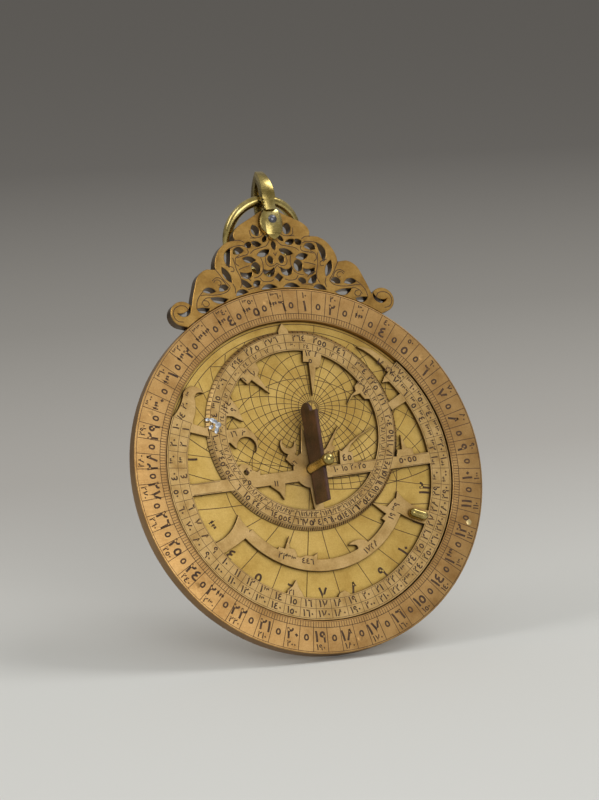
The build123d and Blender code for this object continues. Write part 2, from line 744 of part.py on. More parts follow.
with BuildPart() as almond:
    with BuildSketch(rivet_plane(arm_inner)):
        with BuildLine():
            widest = (almond_half_width, almond_middle)
            neck = (half_arm - 0.7, almond_top)
            ThreePointArc((0, almond_tip), (almond_half_width - 1.1, almond_middle - 4.0), widest)
            ThreePointArc(widest, (almond_half_width - 0.9, almond_middle + 3.5), neck)
            Polyline(neck, (0, almond_top), (0, almond_tip))
        make_face()
        mirror(about=Plane.YZ)
    extrude(amount=shackle_arm_depth)
    with BuildSketch(Plane.XY.offset(throne_pin_height + almond_tip - 4)):
        with Locations((0, arm_outer + 7.6)):
            Circle(7.6)
    extrude(amount=25, mode=Mode.INTERSECT)
    with BuildSketch(side_plane(-10)):
        with Locations((arm_outer + 16, almond_middle - 0.6)):
            Circle(16)
    extrude(amount=20, mode=Mode.INTERSECT)

with BuildPart() as shackle_whole:
    add(shackle.part)
    add(almond.part)
    add(almond.part.mirror(face_plane(throne_middle)))
    with BuildSketch(rivet_plane(20)):
        Circle(shackle_pin_radius)
    extrude(amount=40, mode=Mode.SUBTRACT)
shackle_whole.part.label = "shackle"

with BuildPart() as shackle_pin:
    with BuildSketch(face_plane(throne_middle + throne_thickness / 2 + shackle_gap + shackle_arm_depth)):
        with Locations((0, throne_pin_height)):
            Circle(shackle_pin_radius)
    extrude(amount=throne_thickness + 2 * shackle_gap + 2 * shackle_arm_depth)
    for depth, way in ((arm_outer, 1), (2 * throne_middle - arm_outer, -1)):
        with BuildSketch(face_plane(depth)):
            with Locations((0, throne_pin_height)):
                Circle(shackle_head_radius)
        extrude(amount=way * shackle_head_height)
    chamfer(shackle_pin.faces().sort_by(Axis.Y)[0].edges(), 0.5)
    chamfer(shackle_pin.faces().sort_by(Axis.Y)[-1].edges(), 0.5)
shackle_pin.part.label = "shackle_pin"

# ---- suspension ring ----------------------------------------------------------------
lean = math.radians(ring_tilt)
ring_centre = (
    ring_top[0],
    ring_top[1] + ring_radius * math.sin(lean),
    ring_top[2] - ring_radius * math.cos(lean),
)
ring_plane = Plane(origin=ring_centre, x_dir=(1, 0, 0), z_dir=(0, math.cos(lean), math.sin(lean)))
with BuildPart() as suspension_ring:
    with BuildSketch(Plane(origin=ring_plane.origin, x_dir=ring_plane.x_dir, z_dir=-ring_plane.y_dir)):
        with Locations((ring_radius, 0)):
            RegularPolygon(ring_wire, ring_wire_sides)
    revolve(axis=Axis(ring_plane.origin, ring_plane.z_dir))
suspension_ring.part.label = "suspension_ring"

# ---- files --------------------------------------------------------------------------
export_step(back_plate.part, "parts/back_plate.step")
export_step(limb_ring.part, "parts/limb_ring.step")
export_step(limb_rivets.part, "parts/limb_rivets.step")
export_step(plate_peg.part, "parts/plate_peg.step")
export_step(plate_1, "parts/plate_1.step")
export_step(plate_2, "parts/plate_2.step")
export_step(plate_3, "parts/plate_3.step")
export_step(plate_4, "parts/plate_4.step")
export_step(rete.part, "parts/rete.step")
export_step(rete_knob.part, "parts/rete_knob.step")
export_step(alidade.part, "parts/alidade.step")
export_step(vane_1, "parts/vane_1.step")
export_step(vane_2, "parts/vane_2.step")
export_step(vane_rivets.part, "parts/vane_rivets.step")
export_step(pivot_pin.part, "parts/pivot_pin.step")
export_step(wedge.part, "parts/wedge.step")
export_step(throne.part, "parts/throne.step")
export_step(shackle_whole.part, "parts/shackle.step")
export_step(shackle_pin.part, "parts/shackle_pin.step")
export_step(suspension_ring.part, "parts/suspension_ring.step")
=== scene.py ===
"""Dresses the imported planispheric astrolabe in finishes, engraved scales and filed edges.

Lengths in the classes are millimetres in the object's own frame: the limb's front face is y = 0
and looks along -Y, +X is the viewer's right and +Z runs up through the throne.
"""

import json
import logging
import math
import random
from dataclasses import dataclass, field
from enum import Enum

import bmesh
import bpy
from mathutils import Matrix, Vector

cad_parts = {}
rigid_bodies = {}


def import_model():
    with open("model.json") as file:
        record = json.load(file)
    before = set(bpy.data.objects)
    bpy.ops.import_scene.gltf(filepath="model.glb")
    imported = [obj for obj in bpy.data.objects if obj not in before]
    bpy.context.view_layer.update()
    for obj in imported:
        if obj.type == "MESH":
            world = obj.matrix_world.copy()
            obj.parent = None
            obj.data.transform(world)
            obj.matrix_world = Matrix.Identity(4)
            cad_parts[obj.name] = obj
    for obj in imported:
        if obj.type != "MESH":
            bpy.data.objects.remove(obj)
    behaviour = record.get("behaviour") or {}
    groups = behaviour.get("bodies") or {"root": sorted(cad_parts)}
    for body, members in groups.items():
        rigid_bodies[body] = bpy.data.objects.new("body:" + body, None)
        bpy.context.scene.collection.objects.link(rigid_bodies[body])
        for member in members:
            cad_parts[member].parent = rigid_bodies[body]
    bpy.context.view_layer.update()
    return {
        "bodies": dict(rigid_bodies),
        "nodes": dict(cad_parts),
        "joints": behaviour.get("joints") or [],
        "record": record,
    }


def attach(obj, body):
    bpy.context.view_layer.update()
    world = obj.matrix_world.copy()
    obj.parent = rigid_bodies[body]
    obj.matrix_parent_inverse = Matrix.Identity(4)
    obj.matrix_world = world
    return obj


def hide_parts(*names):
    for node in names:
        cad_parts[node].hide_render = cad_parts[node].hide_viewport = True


log = logging.getLogger("astrolabe")
MM = 0.001
SHEET_RISE = 0.02  # an engraved sheet stands this far off its face, in millimetres
WELD = 0.000002  # points closer than this, in metres, are one point
SHEET_AXIS = Vector((0, 1, 0))  # the faces of the instrument's sheets look along it
WEDGE_AXIS = Vector((1, 0, 0))  # the wedge's broad faces look along it

Point = tuple[float, float]
Place = tuple[float, float, float]


class Slot(Enum):
    """Material slots of the record."""

    LIMB = "limb_brass"
    THRONE = "throne_brass"
    PLATE = "plate_brass"
    RETE = "rete_brass"
    RIVET = "rivet_brass"
    POLISHED = "polished_brass"
    IRON = "iron"
    DARK_IRON = "dark_iron"


# --------------------------------------------------------------------------- small tools
def linear(code: str) -> tuple[float, float, float, float]:
    """Turn an sRGB hex colour into linear red, green, blue and alpha.

    Args:
        code: Colour such as "#C0935A".

    Returns:
        The linear colour with alpha 1.
    """
    text = code.lstrip("#")
    parts = [int(text[i : i + 2], 16) / 255 for i in (0, 2, 4)]
    out = [c / 12.92 if c <= 0.04045 else ((c + 0.055) / 1.055) ** 2.4 for c in parts]
    return (out[0], out[1], out[2], 1.0)


def select_only(piece: bpy.types.Object) -> None:
    """Make one object the only selected and active one."""
    bpy.ops.object.select_all(action="DESELECT")
    piece.select_set(True)
    bpy.context.view_layer.objects.active = piece


def apply_all(piece: bpy.types.Object) -> None:
    """Apply every modifier on a piece, in order."""
    select_only(piece)
    for modifier in list(piece.modifiers):
        bpy.ops.object.modifier_apply(modifier=modifier.name)


def shade(piece: bpy.types.Object, angle: float) -> None:
    """Shade a piece smooth wherever its faces meet at less than an angle in degrees."""
    select_only(piece)
    bpy.ops.object.shade_smooth_by_angle(angle=math.radians(angle))


def recolour(frame: dict, node: str, material: bpy.types.Material) -> None:
    """Give a CAD node a finish and leave its mesh as it is."""
    slots = frame["nodes"][node].data.materials
    slots.clear()
    slots.append(material)


def rim_pairs(mesh: bmesh.types.BMesh, axis: Vector) -> dict:
    """Split a sheet's faces from its walls and pair the points along the splits.

    Args:
        mesh: The sheet's mesh.
        axis: Direction that the sheet's two faces look along.

    Returns:
        For each point on a face's rim, the point of the wall in the same place.
    """
    sharp = []
    for edge in mesh.edges:
        if len(edge.link_faces) != 2:
            continue
        flat = sorted(abs(face.normal.dot(axis)) for face in edge.link_faces)
        if flat[0] < 0.3 and flat[1] > 0.999:
            sharp.append(edge)
    bmesh.ops.split_edges(mesh, edges=sharp)
    rims: dict[tuple[int, int, int], list[bmesh.types.BMVert]] = {}
    for vert in mesh.verts:
        if any(len(edge.link_faces) == 1 for edge in vert.link_edges):
            key = tuple(round(c * 1e7) for c in vert.co)
            rims.setdefault(key, []).append(vert)

    def flatness(vert: bmesh.types.BMVert) -> float:
        return sum(abs(f.normal.dot(axis)) for f in vert.link_faces) / len(vert.link_faces)

    pairs = {}
    for verts in rims.values():
        if len(verts) == 2:
            face_side = max(verts, key=flatness)
            pairs[face_side] = verts[0] if verts[1] is face_side else verts[1]
    return pairs


def inward_steps(vert: bmesh.types.BMVert) -> list[Vector]:
    """Unit steps from a rim point into its face, one across each rim edge."""
    normal = vert.link_faces[0].normal
    steps = []
    for edge in vert.link_edges:
        if len(edge.link_faces) == 1:
            side = normal.cross((edge.verts[1].co - edge.verts[0].co).normalized())
            if side.dot(edge.link_faces[0].calc_center_median() - edge.verts[0].co) < 0:
                side = -side
            steps.append(side)
    return steps


def file_edges(piece: bpy.types.Object, width: float, axis: Vector) -> None:
    """File a narrow flat along the edges of a sawn sheet, on both of its faces.

    Args:
        piece: The mesh object, with its doubles merged.
        width: Width taken off each side of the edge, in millimetres.
        axis: Direction that the sheet's two faces look along.
    """
    mesh = bmesh.new()
    mesh.from_mesh(piece.data)
    mesh.normal_update()
    size = width * MM
    moves: dict[bmesh.types.BMVert, Vector] = {}
    partner: dict[bmesh.types.BMVert, bmesh.types.BMVert] = {}
    for face_side, wall_side in rim_pairs(mesh, axis).items():
        steps = inward_steps(face_side)
        if len(steps) != 2 or (steps[0] + steps[1]).length < 0.3:
            continue
        middle = (steps[0] + steps[1]).normalized()
        moves[face_side] = middle * min(size / max(middle.dot(steps[0]), 0.45), 2 * size)
        moves[wall_side] = -face_side.link_faces[0].normal * size
        partner[face_side] = wall_side
    strips: dict[frozenset, tuple[bmesh.types.BMVert, bmesh.types.BMVert]] = {}
    for first in partner:
        for edge in first.link_edges:
            other = edge.other_vert(first)
            if len(edge.link_faces) == 1 and other in partner:
                strips.setdefault(frozenset((first, other)), (first, other))
    for vert, move in moves.items():
        vert.co += move
    for first, other in strips.values():
        corners = [first, other, partner[other], partner[first]]
        if len(set(corners)) == 4 and mesh.faces.get(corners) is None:
            mesh.faces.new(corners)
    bmesh.ops.recalc_face_normals(mesh, faces=mesh.faces[:])
    mesh.to_mesh(piece.data)
    mesh.free()
    shade(piece, 28)


def round_edges(piece: bpy.types.Object, width: float, angle: float, steps: int) -> None:
    """Bevel a solid piece's sharp edges and shade it smooth between them.

    Args:
        piece: The mesh object.
        width: Bevel width in millimetres.
        angle: Edges sharper than this many degrees are bevelled.
        steps: Segments of the bevel.
    """
    bevel = piece.modifiers.new("edge", "BEVEL")
    bevel.width = width * MM
    bevel.segments = steps
    bevel.limit_method = "ANGLE"
    bevel.angle_limit = math.radians(angle)
    bevel.use_clamp_overlap = True
    bevel.loop_slide = False
    apply_all(piece)
    shade(piece, 38)


def place(
    piece: bpy.types.Object,
    name: str,
    body: str,
    material: bpy.types.Material,
    replaces: tuple[str, ...] = (),
) -> bpy.types.Object:
    """Give a finished piece its name, material and body, and hide the CAD nodes that it replaces.

    Args:
        piece: The mesh object, with its place in its mesh.
        name: The piece's name.
        body: The body that it rides on.
        material: Its finish.
        replaces: The CAD nodes that it stands for.

    Returns:
        The same object.
    """
    select_only(piece)
    bpy.ops.object.transform_apply(location=True, rotation=True, scale=True)
    piece.name = name
    piece.data.name = name
    piece.data.materials.clear()
    piece.data.materials.append(material)
    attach(piece, body)
    if replaces:
        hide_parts(*replaces)
    log.info("%s: %d faces on %s", name, len(piece.data.polygons), body)
    return piece


def copy_of_node(frame: dict, node: str, joined: bool = False) -> bpy.types.Object:
    """Copy a CAD node's mesh to a new object, with its doubles merged.

    Args:
        node: The CAD node's name.
        joined: Whether triangles that lie in one plane are joined to larger faces.

    Returns:
        The new mesh object at the origin.
    """
    mesh = frame["nodes"][node].data.copy()
    piece = bpy.data.objects.new(node + "_dressed", mesh)
    bpy.context.scene.collection.objects.link(piece)
    select_only(piece)
    bpy.ops.object.mode_set(mode="EDIT")
    bpy.ops.mesh.select_all(action="SELECT")
    bpy.ops.mesh.customdata_custom_splitnormals_clear()
    bpy.ops.mesh.remove_doubles(threshold=WELD)
    if joined:
        bpy.ops.mesh.dissolve_limited(angle_limit=math.radians(0.6))
    bpy.ops.object.mode_set(mode="OBJECT")
    return piece


def turned(profile: list[Point], segments: int, closed: bool = True) -> bpy.types.Object:
    """Turn a piece about the Y axis, as on a lathe.

    Args:
        profile: Radius and y of each point in millimetres, in order along the outline.
        segments: Number of steps round the piece.
        closed: Whether the outline comes back to its first point.

    Returns:
        The new mesh object.
    """
    least = 0.001
    radius, depth = profile[0]
    bpy.ops.object.select_all(action="DESELECT")
    bpy.ops.mesh.primitive_circle_add(
        vertices=segments,
        radius=max(radius, least) * MM,
        location=(0, depth * MM, 0),
        rotation=(math.pi / 2, 0, 0),
    )
    piece = bpy.context.active_object
    bpy.ops.object.transform_apply(location=True, rotation=True, scale=True)
    bpy.ops.object.mode_set(mode="EDIT")
    bpy.ops.mesh.select_all(action="SELECT")
    points = profile[1:] + ([profile[0]] if closed else [])
    for next_radius, next_depth in points:
        bpy.ops.mesh.extrude_region_move(
            TRANSFORM_OT_translate={"value": (0, (next_depth - depth) * MM, 0)}
        )
        factor = max(next_radius, least) / max(radius, least)
        if abs(factor - 1) > 1e-9:
            bpy.ops.transform.resize(
                value=(factor, 1, factor), center_override=(0, next_depth * MM, 0)
            )
        radius, depth = next_radius, next_depth
    bpy.ops.mesh.select_all(action="SELECT")
    bpy.ops.mesh.remove_doubles(threshold=1.5 * WELD)
    bpy.ops.mesh.normals_make_consistent(inside=False)
    bpy.ops.object.mode_set(mode="OBJECT")
    shade(piece, 30)
    return piece


def two_ended(half: list[Point], total: float) -> list[Point]:
    """Outline of a rivet whose far end mirrors the near one; total is twice the middle's y."""
    return half + [(radius, total - depth) for radius, depth in reversed(half)]


def join(pieces: list[bpy.types.Object]) -> bpy.types.Object:
    """Join mesh objects into the first one and return it."""
    bpy.ops.object.select_all(action="DESELECT")
    for piece in pieces:
        piece.select_set(True)
    bpy.context.view_layer.objects.active = pieces[0]
    if len(pieces) > 1:
        bpy.ops.object.join()
    return pieces[0]


def polar(radius: float, clock: float) -> Point:
    """Point at a radius and an angle in degrees counted clockwise from the top."""
    turn = math.radians(clock)
    return (radius * math.sin(turn), radius * math.cos(turn))


def upright_lean(clock: float) -> float:
    """Lean of a number at a clockwise angle, so that it never stands on its head."""
    return clock if math.cos(math.radians(clock)) > 0 else clock - 180


def smooth(points: list[Point], steps: int = 7) -> list[Point]:
    """Points of a smooth line that passes through each given point in turn."""
    ends = [points[0], *points, points[-1]]
    out = []
    for i in range(1, len(ends) - 2):
        corners = list(zip(*ends[i - 1 : i + 3]))
        for step in range(steps):
            t = step / steps
            u, v = (
                0.5
                * (
                    2 * b
                    + (c - a) * t
                    + (2 * a - 5 * b + 4 * c - d) * t**2
                    + (3 * b - a - 3 * c + d) * t**3
                )
                for a, b, c, d in corners
            )
            out.append((u, v))
    out.append(points[-1])
    return out


# --------------------------------------------------------------------------- finishes
def add_node(tree: bpy.types.NodeTree, kind: str, settings: dict, links: dict) -> bpy.types.Node:
    """Add a shader node with its settings and incoming links.

    Args:
        tree: The node tree.
        kind: The node's type name.
        settings: Attribute names, or input names, with their values.
        links: Input names or numbers with the output socket that feeds each.

    Returns:
        The new node.
    """
    node = tree.nodes.new(kind)
    for key, value in settings.items():
        if isinstance(key, str) and hasattr(node, key) and key not in node.inputs:
            setattr(node, key, value)
        else:
            node.inputs[key].default_value = value
    for key, socket in links.items():
        tree.links.new(socket, node.inputs[key])
    return node


def new_tree(owner: bpy.types.Material | bpy.types.World) -> bpy.types.NodeTree:
    """Switch a material or world to nodes and return its emptied tree."""
    owner.use_nodes = True
    owner.node_tree.nodes.clear()
    return owner.node_tree


def noise(
    tree: bpy.types.NodeTree,
    vector: bpy.types.NodeSocket,
    size_mm: float,
    detail: float,
    roughness: float,
) -> bpy.types.NodeSocket:
    """Add a noise whose features are about size_mm across, and return its value."""
    settings = {"Scale": 1000 / size_mm, "Detail": detail, "Roughness": roughness}
    return add_node(tree, "ShaderNodeTexNoise", settings, {"Vector": vector}).outputs["Fac"]


def remap(
    tree: bpy.types.NodeTree,
    value: bpy.types.NodeSocket,
    source: tuple[float, float],
    target: tuple[float, float] = (0.0, 1.0),
) -> bpy.types.NodeSocket:
    """Add a node that maps one range of numbers to another, and return its result."""
    settings = dict(zip(("From Min", "From Max", "To Min", "To Max"), (*source, *target)))
    return add_node(tree, "ShaderNodeMapRange", settings, {"Value": value}).outputs["Result"]


def ramp(
    tree: bpy.types.NodeTree, factor: bpy.types.NodeSocket, stops: list[tuple[float, str]]
) -> bpy.types.NodeSocket:
    """Add a colour ramp with stops in order, and return its colour."""
    node = add_node(tree, "ShaderNodeValToRGB", {}, {"Fac": factor})
    elements = node.color_ramp.elements
    for element, (position, code) in zip(elements, (stops[0], stops[-1])):
        element.position = position
        element.color = linear(code)
    for position, code in stops[1:-1]:
        elements.new(position).color = linear(code)
    return node.outputs["Color"]


def tint(
    tree: bpy.types.NodeTree,
    share: bpy.types.NodeSocket,
    under: bpy.types.NodeSocket,
    code: str,
    blend: str = "MIX",
) -> bpy.types.NodeSocket:
    """Lay a plain colour over another by a share, and return the result."""
    node = add_node(tree, "ShaderNodeMix", {"data_type": "RGBA", "blend_type": blend}, {})
    tree.links.new(share, node.inputs["Factor"])
    tree.links.new(under, node.inputs[6])
    node.inputs[7].default_value = linear(code)
    return node.outputs[2]


@dataclass(frozen=True)
class MetalFinish:
    """Old hand-worked metal: patina in patches, fine rubbing marks, painted shade in the corners.
    """

    name: str
    body: str
    shade: str
    light: str
    # Colour of the painted shade in corners and creases.
    grime: str
    roughness: float
    spread: float = 0.08
    patch_mm: float = 9.0
    grain_mm: float = 0.7
    rub_mm: float = 0.5
    bump: float = 0.12
    metallic: float = 1.0
    # Reach and strength of the painted shade in corners and creases.
    grime_reach_mm: float = 1.2
    grime_share: float = 0.75
    # Colour and share of the sawn walls: their brown skin together with painted shade.
    side: str = "#4A3218"
    side_share: float = 0.0

    def build(self) -> bpy.types.Material:
        """Build the node material and return it."""
        material = bpy.data.materials.new(self.name)
        tree = new_tree(material)
        texture = add_node(tree, "ShaderNodeTexCoord", {}, {})
        place_in = texture.outputs["Object"]
        patches = noise(tree, place_in, self.patch_mm, 6.0, 0.62)
        grain = noise(tree, place_in, self.grain_mm, 4.0, 0.7)
        # Rubbing marks run mostly one way, so their pattern is drawn out along X and Z.
        settings = {"Rotation": (0.0, 0.5, 0.0), "Scale": (0.09, 1.0, 1.0)}
        stretch = add_node(tree, "ShaderNodeMapping", settings, {"Vector": place_in})
        rubs = noise(tree, stretch.outputs["Vector"], self.rub_mm, 3.0, 0.6)
        tone = ramp(tree, patches, [(0.32, self.shade), (0.5, self.body), (0.70, self.light)])
        # Small pits hold a darker skin.
        specks = remap(tree, grain, (0.35, 0.65), (0.0, 0.22))
        tone = tint(tree, specks, tone, self.shade, "MULTIPLY")
        # Painted shade: ambient occlusion darkens the colour where a face runs into a wall.
        settings = {"samples": 6, "Distance": self.grime_reach_mm * MM}
        crease = add_node(tree, "ShaderNodeAmbientOcclusion", settings, {}).outputs["AO"]
        painted_crease_shade = remap(tree, crease, (0.35, 0.9), (self.grime_share, 0.0))
        tone = tint(tree, painted_crease_shade, tone, self.grime)
        # Faces that hands and plates rub stay clean; sawn walls keep their brown skin, darkened
        # further as painted shade.
        facing = {"Vector": texture.outputs["Normal"]}
        parts = add_node(tree, "ShaderNodeSeparateXYZ", {}, facing)
        depth = add_node(
            tree, "ShaderNodeMath", {"operation": "ABSOLUTE"}, {0: parts.outputs["Y"]}
        )
        walls = remap(tree, depth.outputs["Value"], (0.3, 0.62), (self.side_share, 0.0))
        tone = tint(tree, walls, tone, self.side)
        swing = (self.roughness - self.spread, self.roughness + self.spread)
        rough = remap(tree, rubs, (0.3, 0.7), swing)
        height = add_node(tree, "ShaderNodeMath", {"operation": "ADD"}, {0: grain, 1: rubs})
        relief = add_node(
            tree,
            "ShaderNodeBump",
            {"Strength": self.bump, "Distance": 0.12 * MM},
            {"Height": height.outputs["Value"]},
        )
        shader = add_node(
            tree,
            "ShaderNodeBsdfPrincipled",
            {"Metallic": self.metallic},
            {"Base Color": tone, "Roughness": rough, "Normal": relief.outputs["Normal"]},
        )
        add_node(tree, "ShaderNodeOutputMaterial", {}, {"Surface": shader.outputs["BSDF"]})
        return material


@dataclass(frozen=True)
class InlayFinish:
    """Dark matter that has settled in engraved lines, or another plain mixed tone."""

    name: str
    dark: str
    pale: str
    roughness: float
    scale_mm: float
    metallic: float = 0.0

    def build(self) -> bpy.types.Material:
        """Build the node material and return it."""
        material = bpy.data.materials.new(self.name)
        tree = new_tree(material)
        place_in = add_node(tree, "ShaderNodeTexCoord", {}, {}).outputs["Object"]
        patches = noise(tree, place_in, self.scale_mm, 4.0, 0.6)
        shader = add_node(
            tree,
            "ShaderNodeBsdfPrincipled",
            {"Metallic": self.metallic, "Roughness": self.roughness},
            {"Base Color": ramp(tree, patches, [(0.38, self.dark), (0.68, self.pale)])},
        )
        add_node(tree, "ShaderNodeOutputMaterial", {}, {"Surface": shader.outputs["BSDF"]})
        return material


@dataclass
class Finishes:
    """Every finish of the astrolabe."""

    # Cast and filed brass of the limb, rubbed by hands: reddish, with streaks.
    limb: MetalFinish = MetalFinish(
        "filed limb brass",
        "#B8925C",
        "#A07A48",
        "#C6A068",
        "#382410",
        0.42,
        patch_mm=12.0,
        side="#8A6A42",
        side_share=0.7,
    )
    # Sawn and filed brass of the throne, with painted shade darkening its walls and corners.
    throne: MetalFinish = MetalFinish(
        "filed throne brass",
        "#AE8849",
        "#94703A",
        "#C09A58",
        "#1E1206",
        0.36,
        grime_reach_mm=1.6,
        side="#3A280F",
        side_share=0.85,
    )
    # Rolled and scraped brass of the plates, the yellowest and cleanest.
    plate: MetalFinish = MetalFinish(
        "scraped plate brass",
        "#C8A85E",
        "#B4924C",
        "#D4B46C",
        "#3E2A10",
        0.42,
        patch_mm=16.0,
        grime_reach_mm=1.6,
        grime_share=0.85,
    )
    # Sawn brass of the star map, paler and more matt.
    rete: MetalFinish = MetalFinish(
        "sawn rete brass",
        "#C0A068",
        "#A88752",
        "#CEAE78",
        "#382410",
        0.42,
        patch_mm=9.0,
        side="#3A280F",
        side_share=0.85,
    )
    # Cast and burnished brass of the shackle, ring, pin and knob, with a green cast.
    polished: MetalFinish = MetalFinish(
        "burnished brass", "#B5A264", "#857440", "#CDBE86", "#3C3014", 0.24, bump=0.05
    )
    # Bright spots where a plug has been filed flush.
    plug: MetalFinish = MetalFinish(
        "filed plug brass", "#E4D09A", "#C8B078", "#F2E4BC", "#6A5028", 0.32, bump=0.05
    )
    # Forged iron of the rivet.
    iron: MetalFinish = MetalFinish(
        "forged iron", "#5A5A60", "#3A3A40", "#8A8A90", "#1C1A1A", 0.32, bump=0.1
    )
    # Iron wedge in a dark brown tone.
    wedge: MetalFinish = MetalFinish(
        "browned iron", "#4A2E20", "#2C1A12", "#6A4430", "#140C08", 0.48, metallic=0.35, bump=0.25
    )
    # Tin-silver solder of an old mend.
    solder: InlayFinish = InlayFinish("solder", "#8E9298", "#D4D8DC", 0.35, 1.6, 1.0)
    # Wax and dirt that blacken an engraved line.
    line: InlayFinish = InlayFinish("blackened engraving", "#33200E", "#5A3C1E", 0.75, 2.5)

    made: dict = field(default_factory=dict)

    def get(self, key: str) -> bpy.types.Material:
        """Return the material of a finish, built the first time it is asked for.

        Args:
            key: The finish's field name.

        Returns:
            The Blender material.
        """
        if key not in self.made:
            self.made[key] = getattr(self, key).build()
        return self.made[key]


# --------------------------------------------------------------------------- engraving
class Digits:
    """The ten digits of an eastern Arabic dial, each modelled once and copied as needed."""

    signs = "٠١٢٣٤٥٦٧٨٩"
    tallest = 0.68
    gap = 0.09

    def __init__(self) -> None:
        """Model each digit from the built-in typeface."""
        self.shapes: dict[str, tuple[list[Vector], list[list[int]], float]] = {}
        for number, sign in enumerate(self.signs):
            bpy.ops.object.select_all(action="DESELECT")
            bpy.ops.object.text_add()
            text = bpy.context.active_object
            text.data.body = sign
            text.data.size = 1.0
            text.data.resolution_u = 2
            text.data.offset = 0.03
            bpy.ops.object.convert(target="MESH")
            piece = bpy.context.active_object
            low = min(v.co.x for v in piece.data.vertices)
            points = [Vector((v.co.x - low, v.co.y, 0.0)) for v in piece.data.vertices]
            faces = [list(p.vertices) for p in piece.data.polygons]
            width = max(p.x for p in points)
            self.shapes[str(number)] = (points, faces, width)
            bpy.data.objects.remove(piece)

    def layout(self, text: str, height: float) -> list[tuple[list[Point], list[list[int]]]]:
        """Set a number round its own centre.

        Args:
            text: Digits from 0 to 9.
            height: Height of a digit in millimetres.

        Returns:
            For each digit its points in millimetres and its faces.
        """
        scale = height / self.tallest
        total = sum(self.shapes[c][2] for c in text) + self.gap * (len(text) - 1)
        cursor = -total / 2
        out = []
        for c in text:
            points, faces, width = self.shapes[c]
            middle = self.tallest / 2
            placed = [((p.x + cursor) * scale, (p.y - middle) * scale) for p in points]
            out.append((placed, faces))
            cursor += width + self.gap
        return out


class Engraving:
    """Lines and digits cut in a flat face and drawn as thin dark inlays just proud of it."""

    def __init__(self, digits: Digits, depth: float, turn: float = 0.0, back: bool = False) -> None:
        """Start an empty sheet of lines.

        Args:
            digits: The dial's digits.
            depth: The y of the face in millimetres.
            turn: Degrees that the sheet is turned counter-clockwise, seen from the front.
            back: Whether the face looks along +Y.
        """
        self.digits = digits
        self.back = back
        self.depth = depth + (SHEET_RISE if back else -SHEET_RISE)
        self.cos = math.cos(math.radians(turn))
        self.sin = math.sin(math.radians(turn))
        self.mesh = bmesh.new()
        self.random = random.Random(7)

    def put(self, point: Point, drop: float = 0.0) -> bmesh.types.BMVert:
        """Add a vertex at a point of the sheet, in millimetres, drop behind the face."""
        u, v = point
        x = u * self.cos - v * self.sin
        z = u * self.sin + v * self.cos
        return self.mesh.verts.new((x * MM, (self.depth + drop) * MM, z * MM))

    def face(self, corners: list[bmesh.types.BMVert]) -> None:
        """Add a face that looks out of the sheet."""
        self.mesh.faces.new(corners if not self.back else list(reversed(corners)))

    def stroke(self, points: list[Point], width: float) -> None:
        """Cut a line of even width through points.

        Args:
            points: Points in millimetres.
            width: Width of the line in millimetres.
        """
        if len(points) < 2:
            return
        left, right = [], []
        for i, (u, v) in enumerate(points):
            before = points[max(i - 1, 0)]
            after = points[min(i + 1, len(points) - 1)]
            du, dv = after[0] - before[0], after[1] - before[1]
            size = math.hypot(du, dv) or 1.0
            nu, nv = -dv / size * width / 2, du / size * width / 2
            left.append(self.put((u + nu, v + nv)))
            right.append(self.put((u - nu, v - nv)))
        for i in range(len(points) - 1):
            self.face([right[i], right[i + 1], left[i + 1], left[i]])

    def arc(
        self,
        radius: float,
        width: float,
        step: float = 2.0,
        centre: Point = (0.0, 0.0),
        start: float = 0.0,
        sweep: float = 360.0,
    ) -> None:
        """Cut a circle or part of one.

        Args:
            radius: Its radius.
            width: Width of the line.
            step: Degrees from one point of it to the next.
            centre: Its centre.
            start: Where it starts, in degrees clockwise from the top.
            sweep: How far it runs clockwise.
        """
        count = max(4, int(abs(sweep) / step))
        points = []
        for i in range(count + 1):
            u, v = polar(radius, start + sweep * i / count)
            points.append((centre[0] + u, centre[1] + v))
        self.stroke(points, width)

    def tick(self, inner: float, outer: float, clock: float, width: float) -> None:
        """Cut a radial line between two radii at a clockwise angle."""
        self.stroke([polar(inner, clock), polar(outer, clock)], width)

    def bevel_tick(
        self, centre: Point, inner: float, bevel: float, clock: float, width: float
    ) -> None:
        """Cut a line down a 45 degree bevel that falls away outside a radius."""
        corners = []
        for reach, side in ((0.1, -1), (0.1, 1), (0.95, 1), (0.95, -1)):
            radius = inner + bevel * reach
            u, v = polar(radius, clock)
            du, dv = polar(width / 2 * side, clock + 90)
            corners.append(self.put((centre[0] + u + du, centre[1] + v + dv), bevel * reach - 0.01))
        self.face(corners)

    def number(self, text: str, centre: Point, height: float, angle: float) -> None:
        """Cut a number.

        Args:
            text: Digits from 0 to 9.
            centre: Centre of the number.
            height: Height of a digit.
            angle: Degrees that its top leans clockwise.
        """
        lean = math.radians(-angle + self.random.uniform(-2.5, 2.5))
        c, s = math.cos(lean), math.sin(lean)
        for points, faces in self.digits.layout(text, height):
            verts = [
                self.put((centre[0] + c * u - s * v, centre[1] + s * u + c * v))
                for u, v in points
            ]
            for corners in faces:
                self.face([verts[i] for i in corners])

    def done(
        self, name: str, body: str, material: bpy.types.Material
    ) -> bpy.types.Object:
        """Turn the sheet into a piece on a body and return it."""
        mesh = bpy.data.meshes.new(name)
        self.mesh.to_mesh(mesh)
        self.mesh.free()
        piece = bpy.data.objects.new(name, mesh)
        bpy.context.scene.collection.objects.link(piece)
        return place(piece, name, body, material)


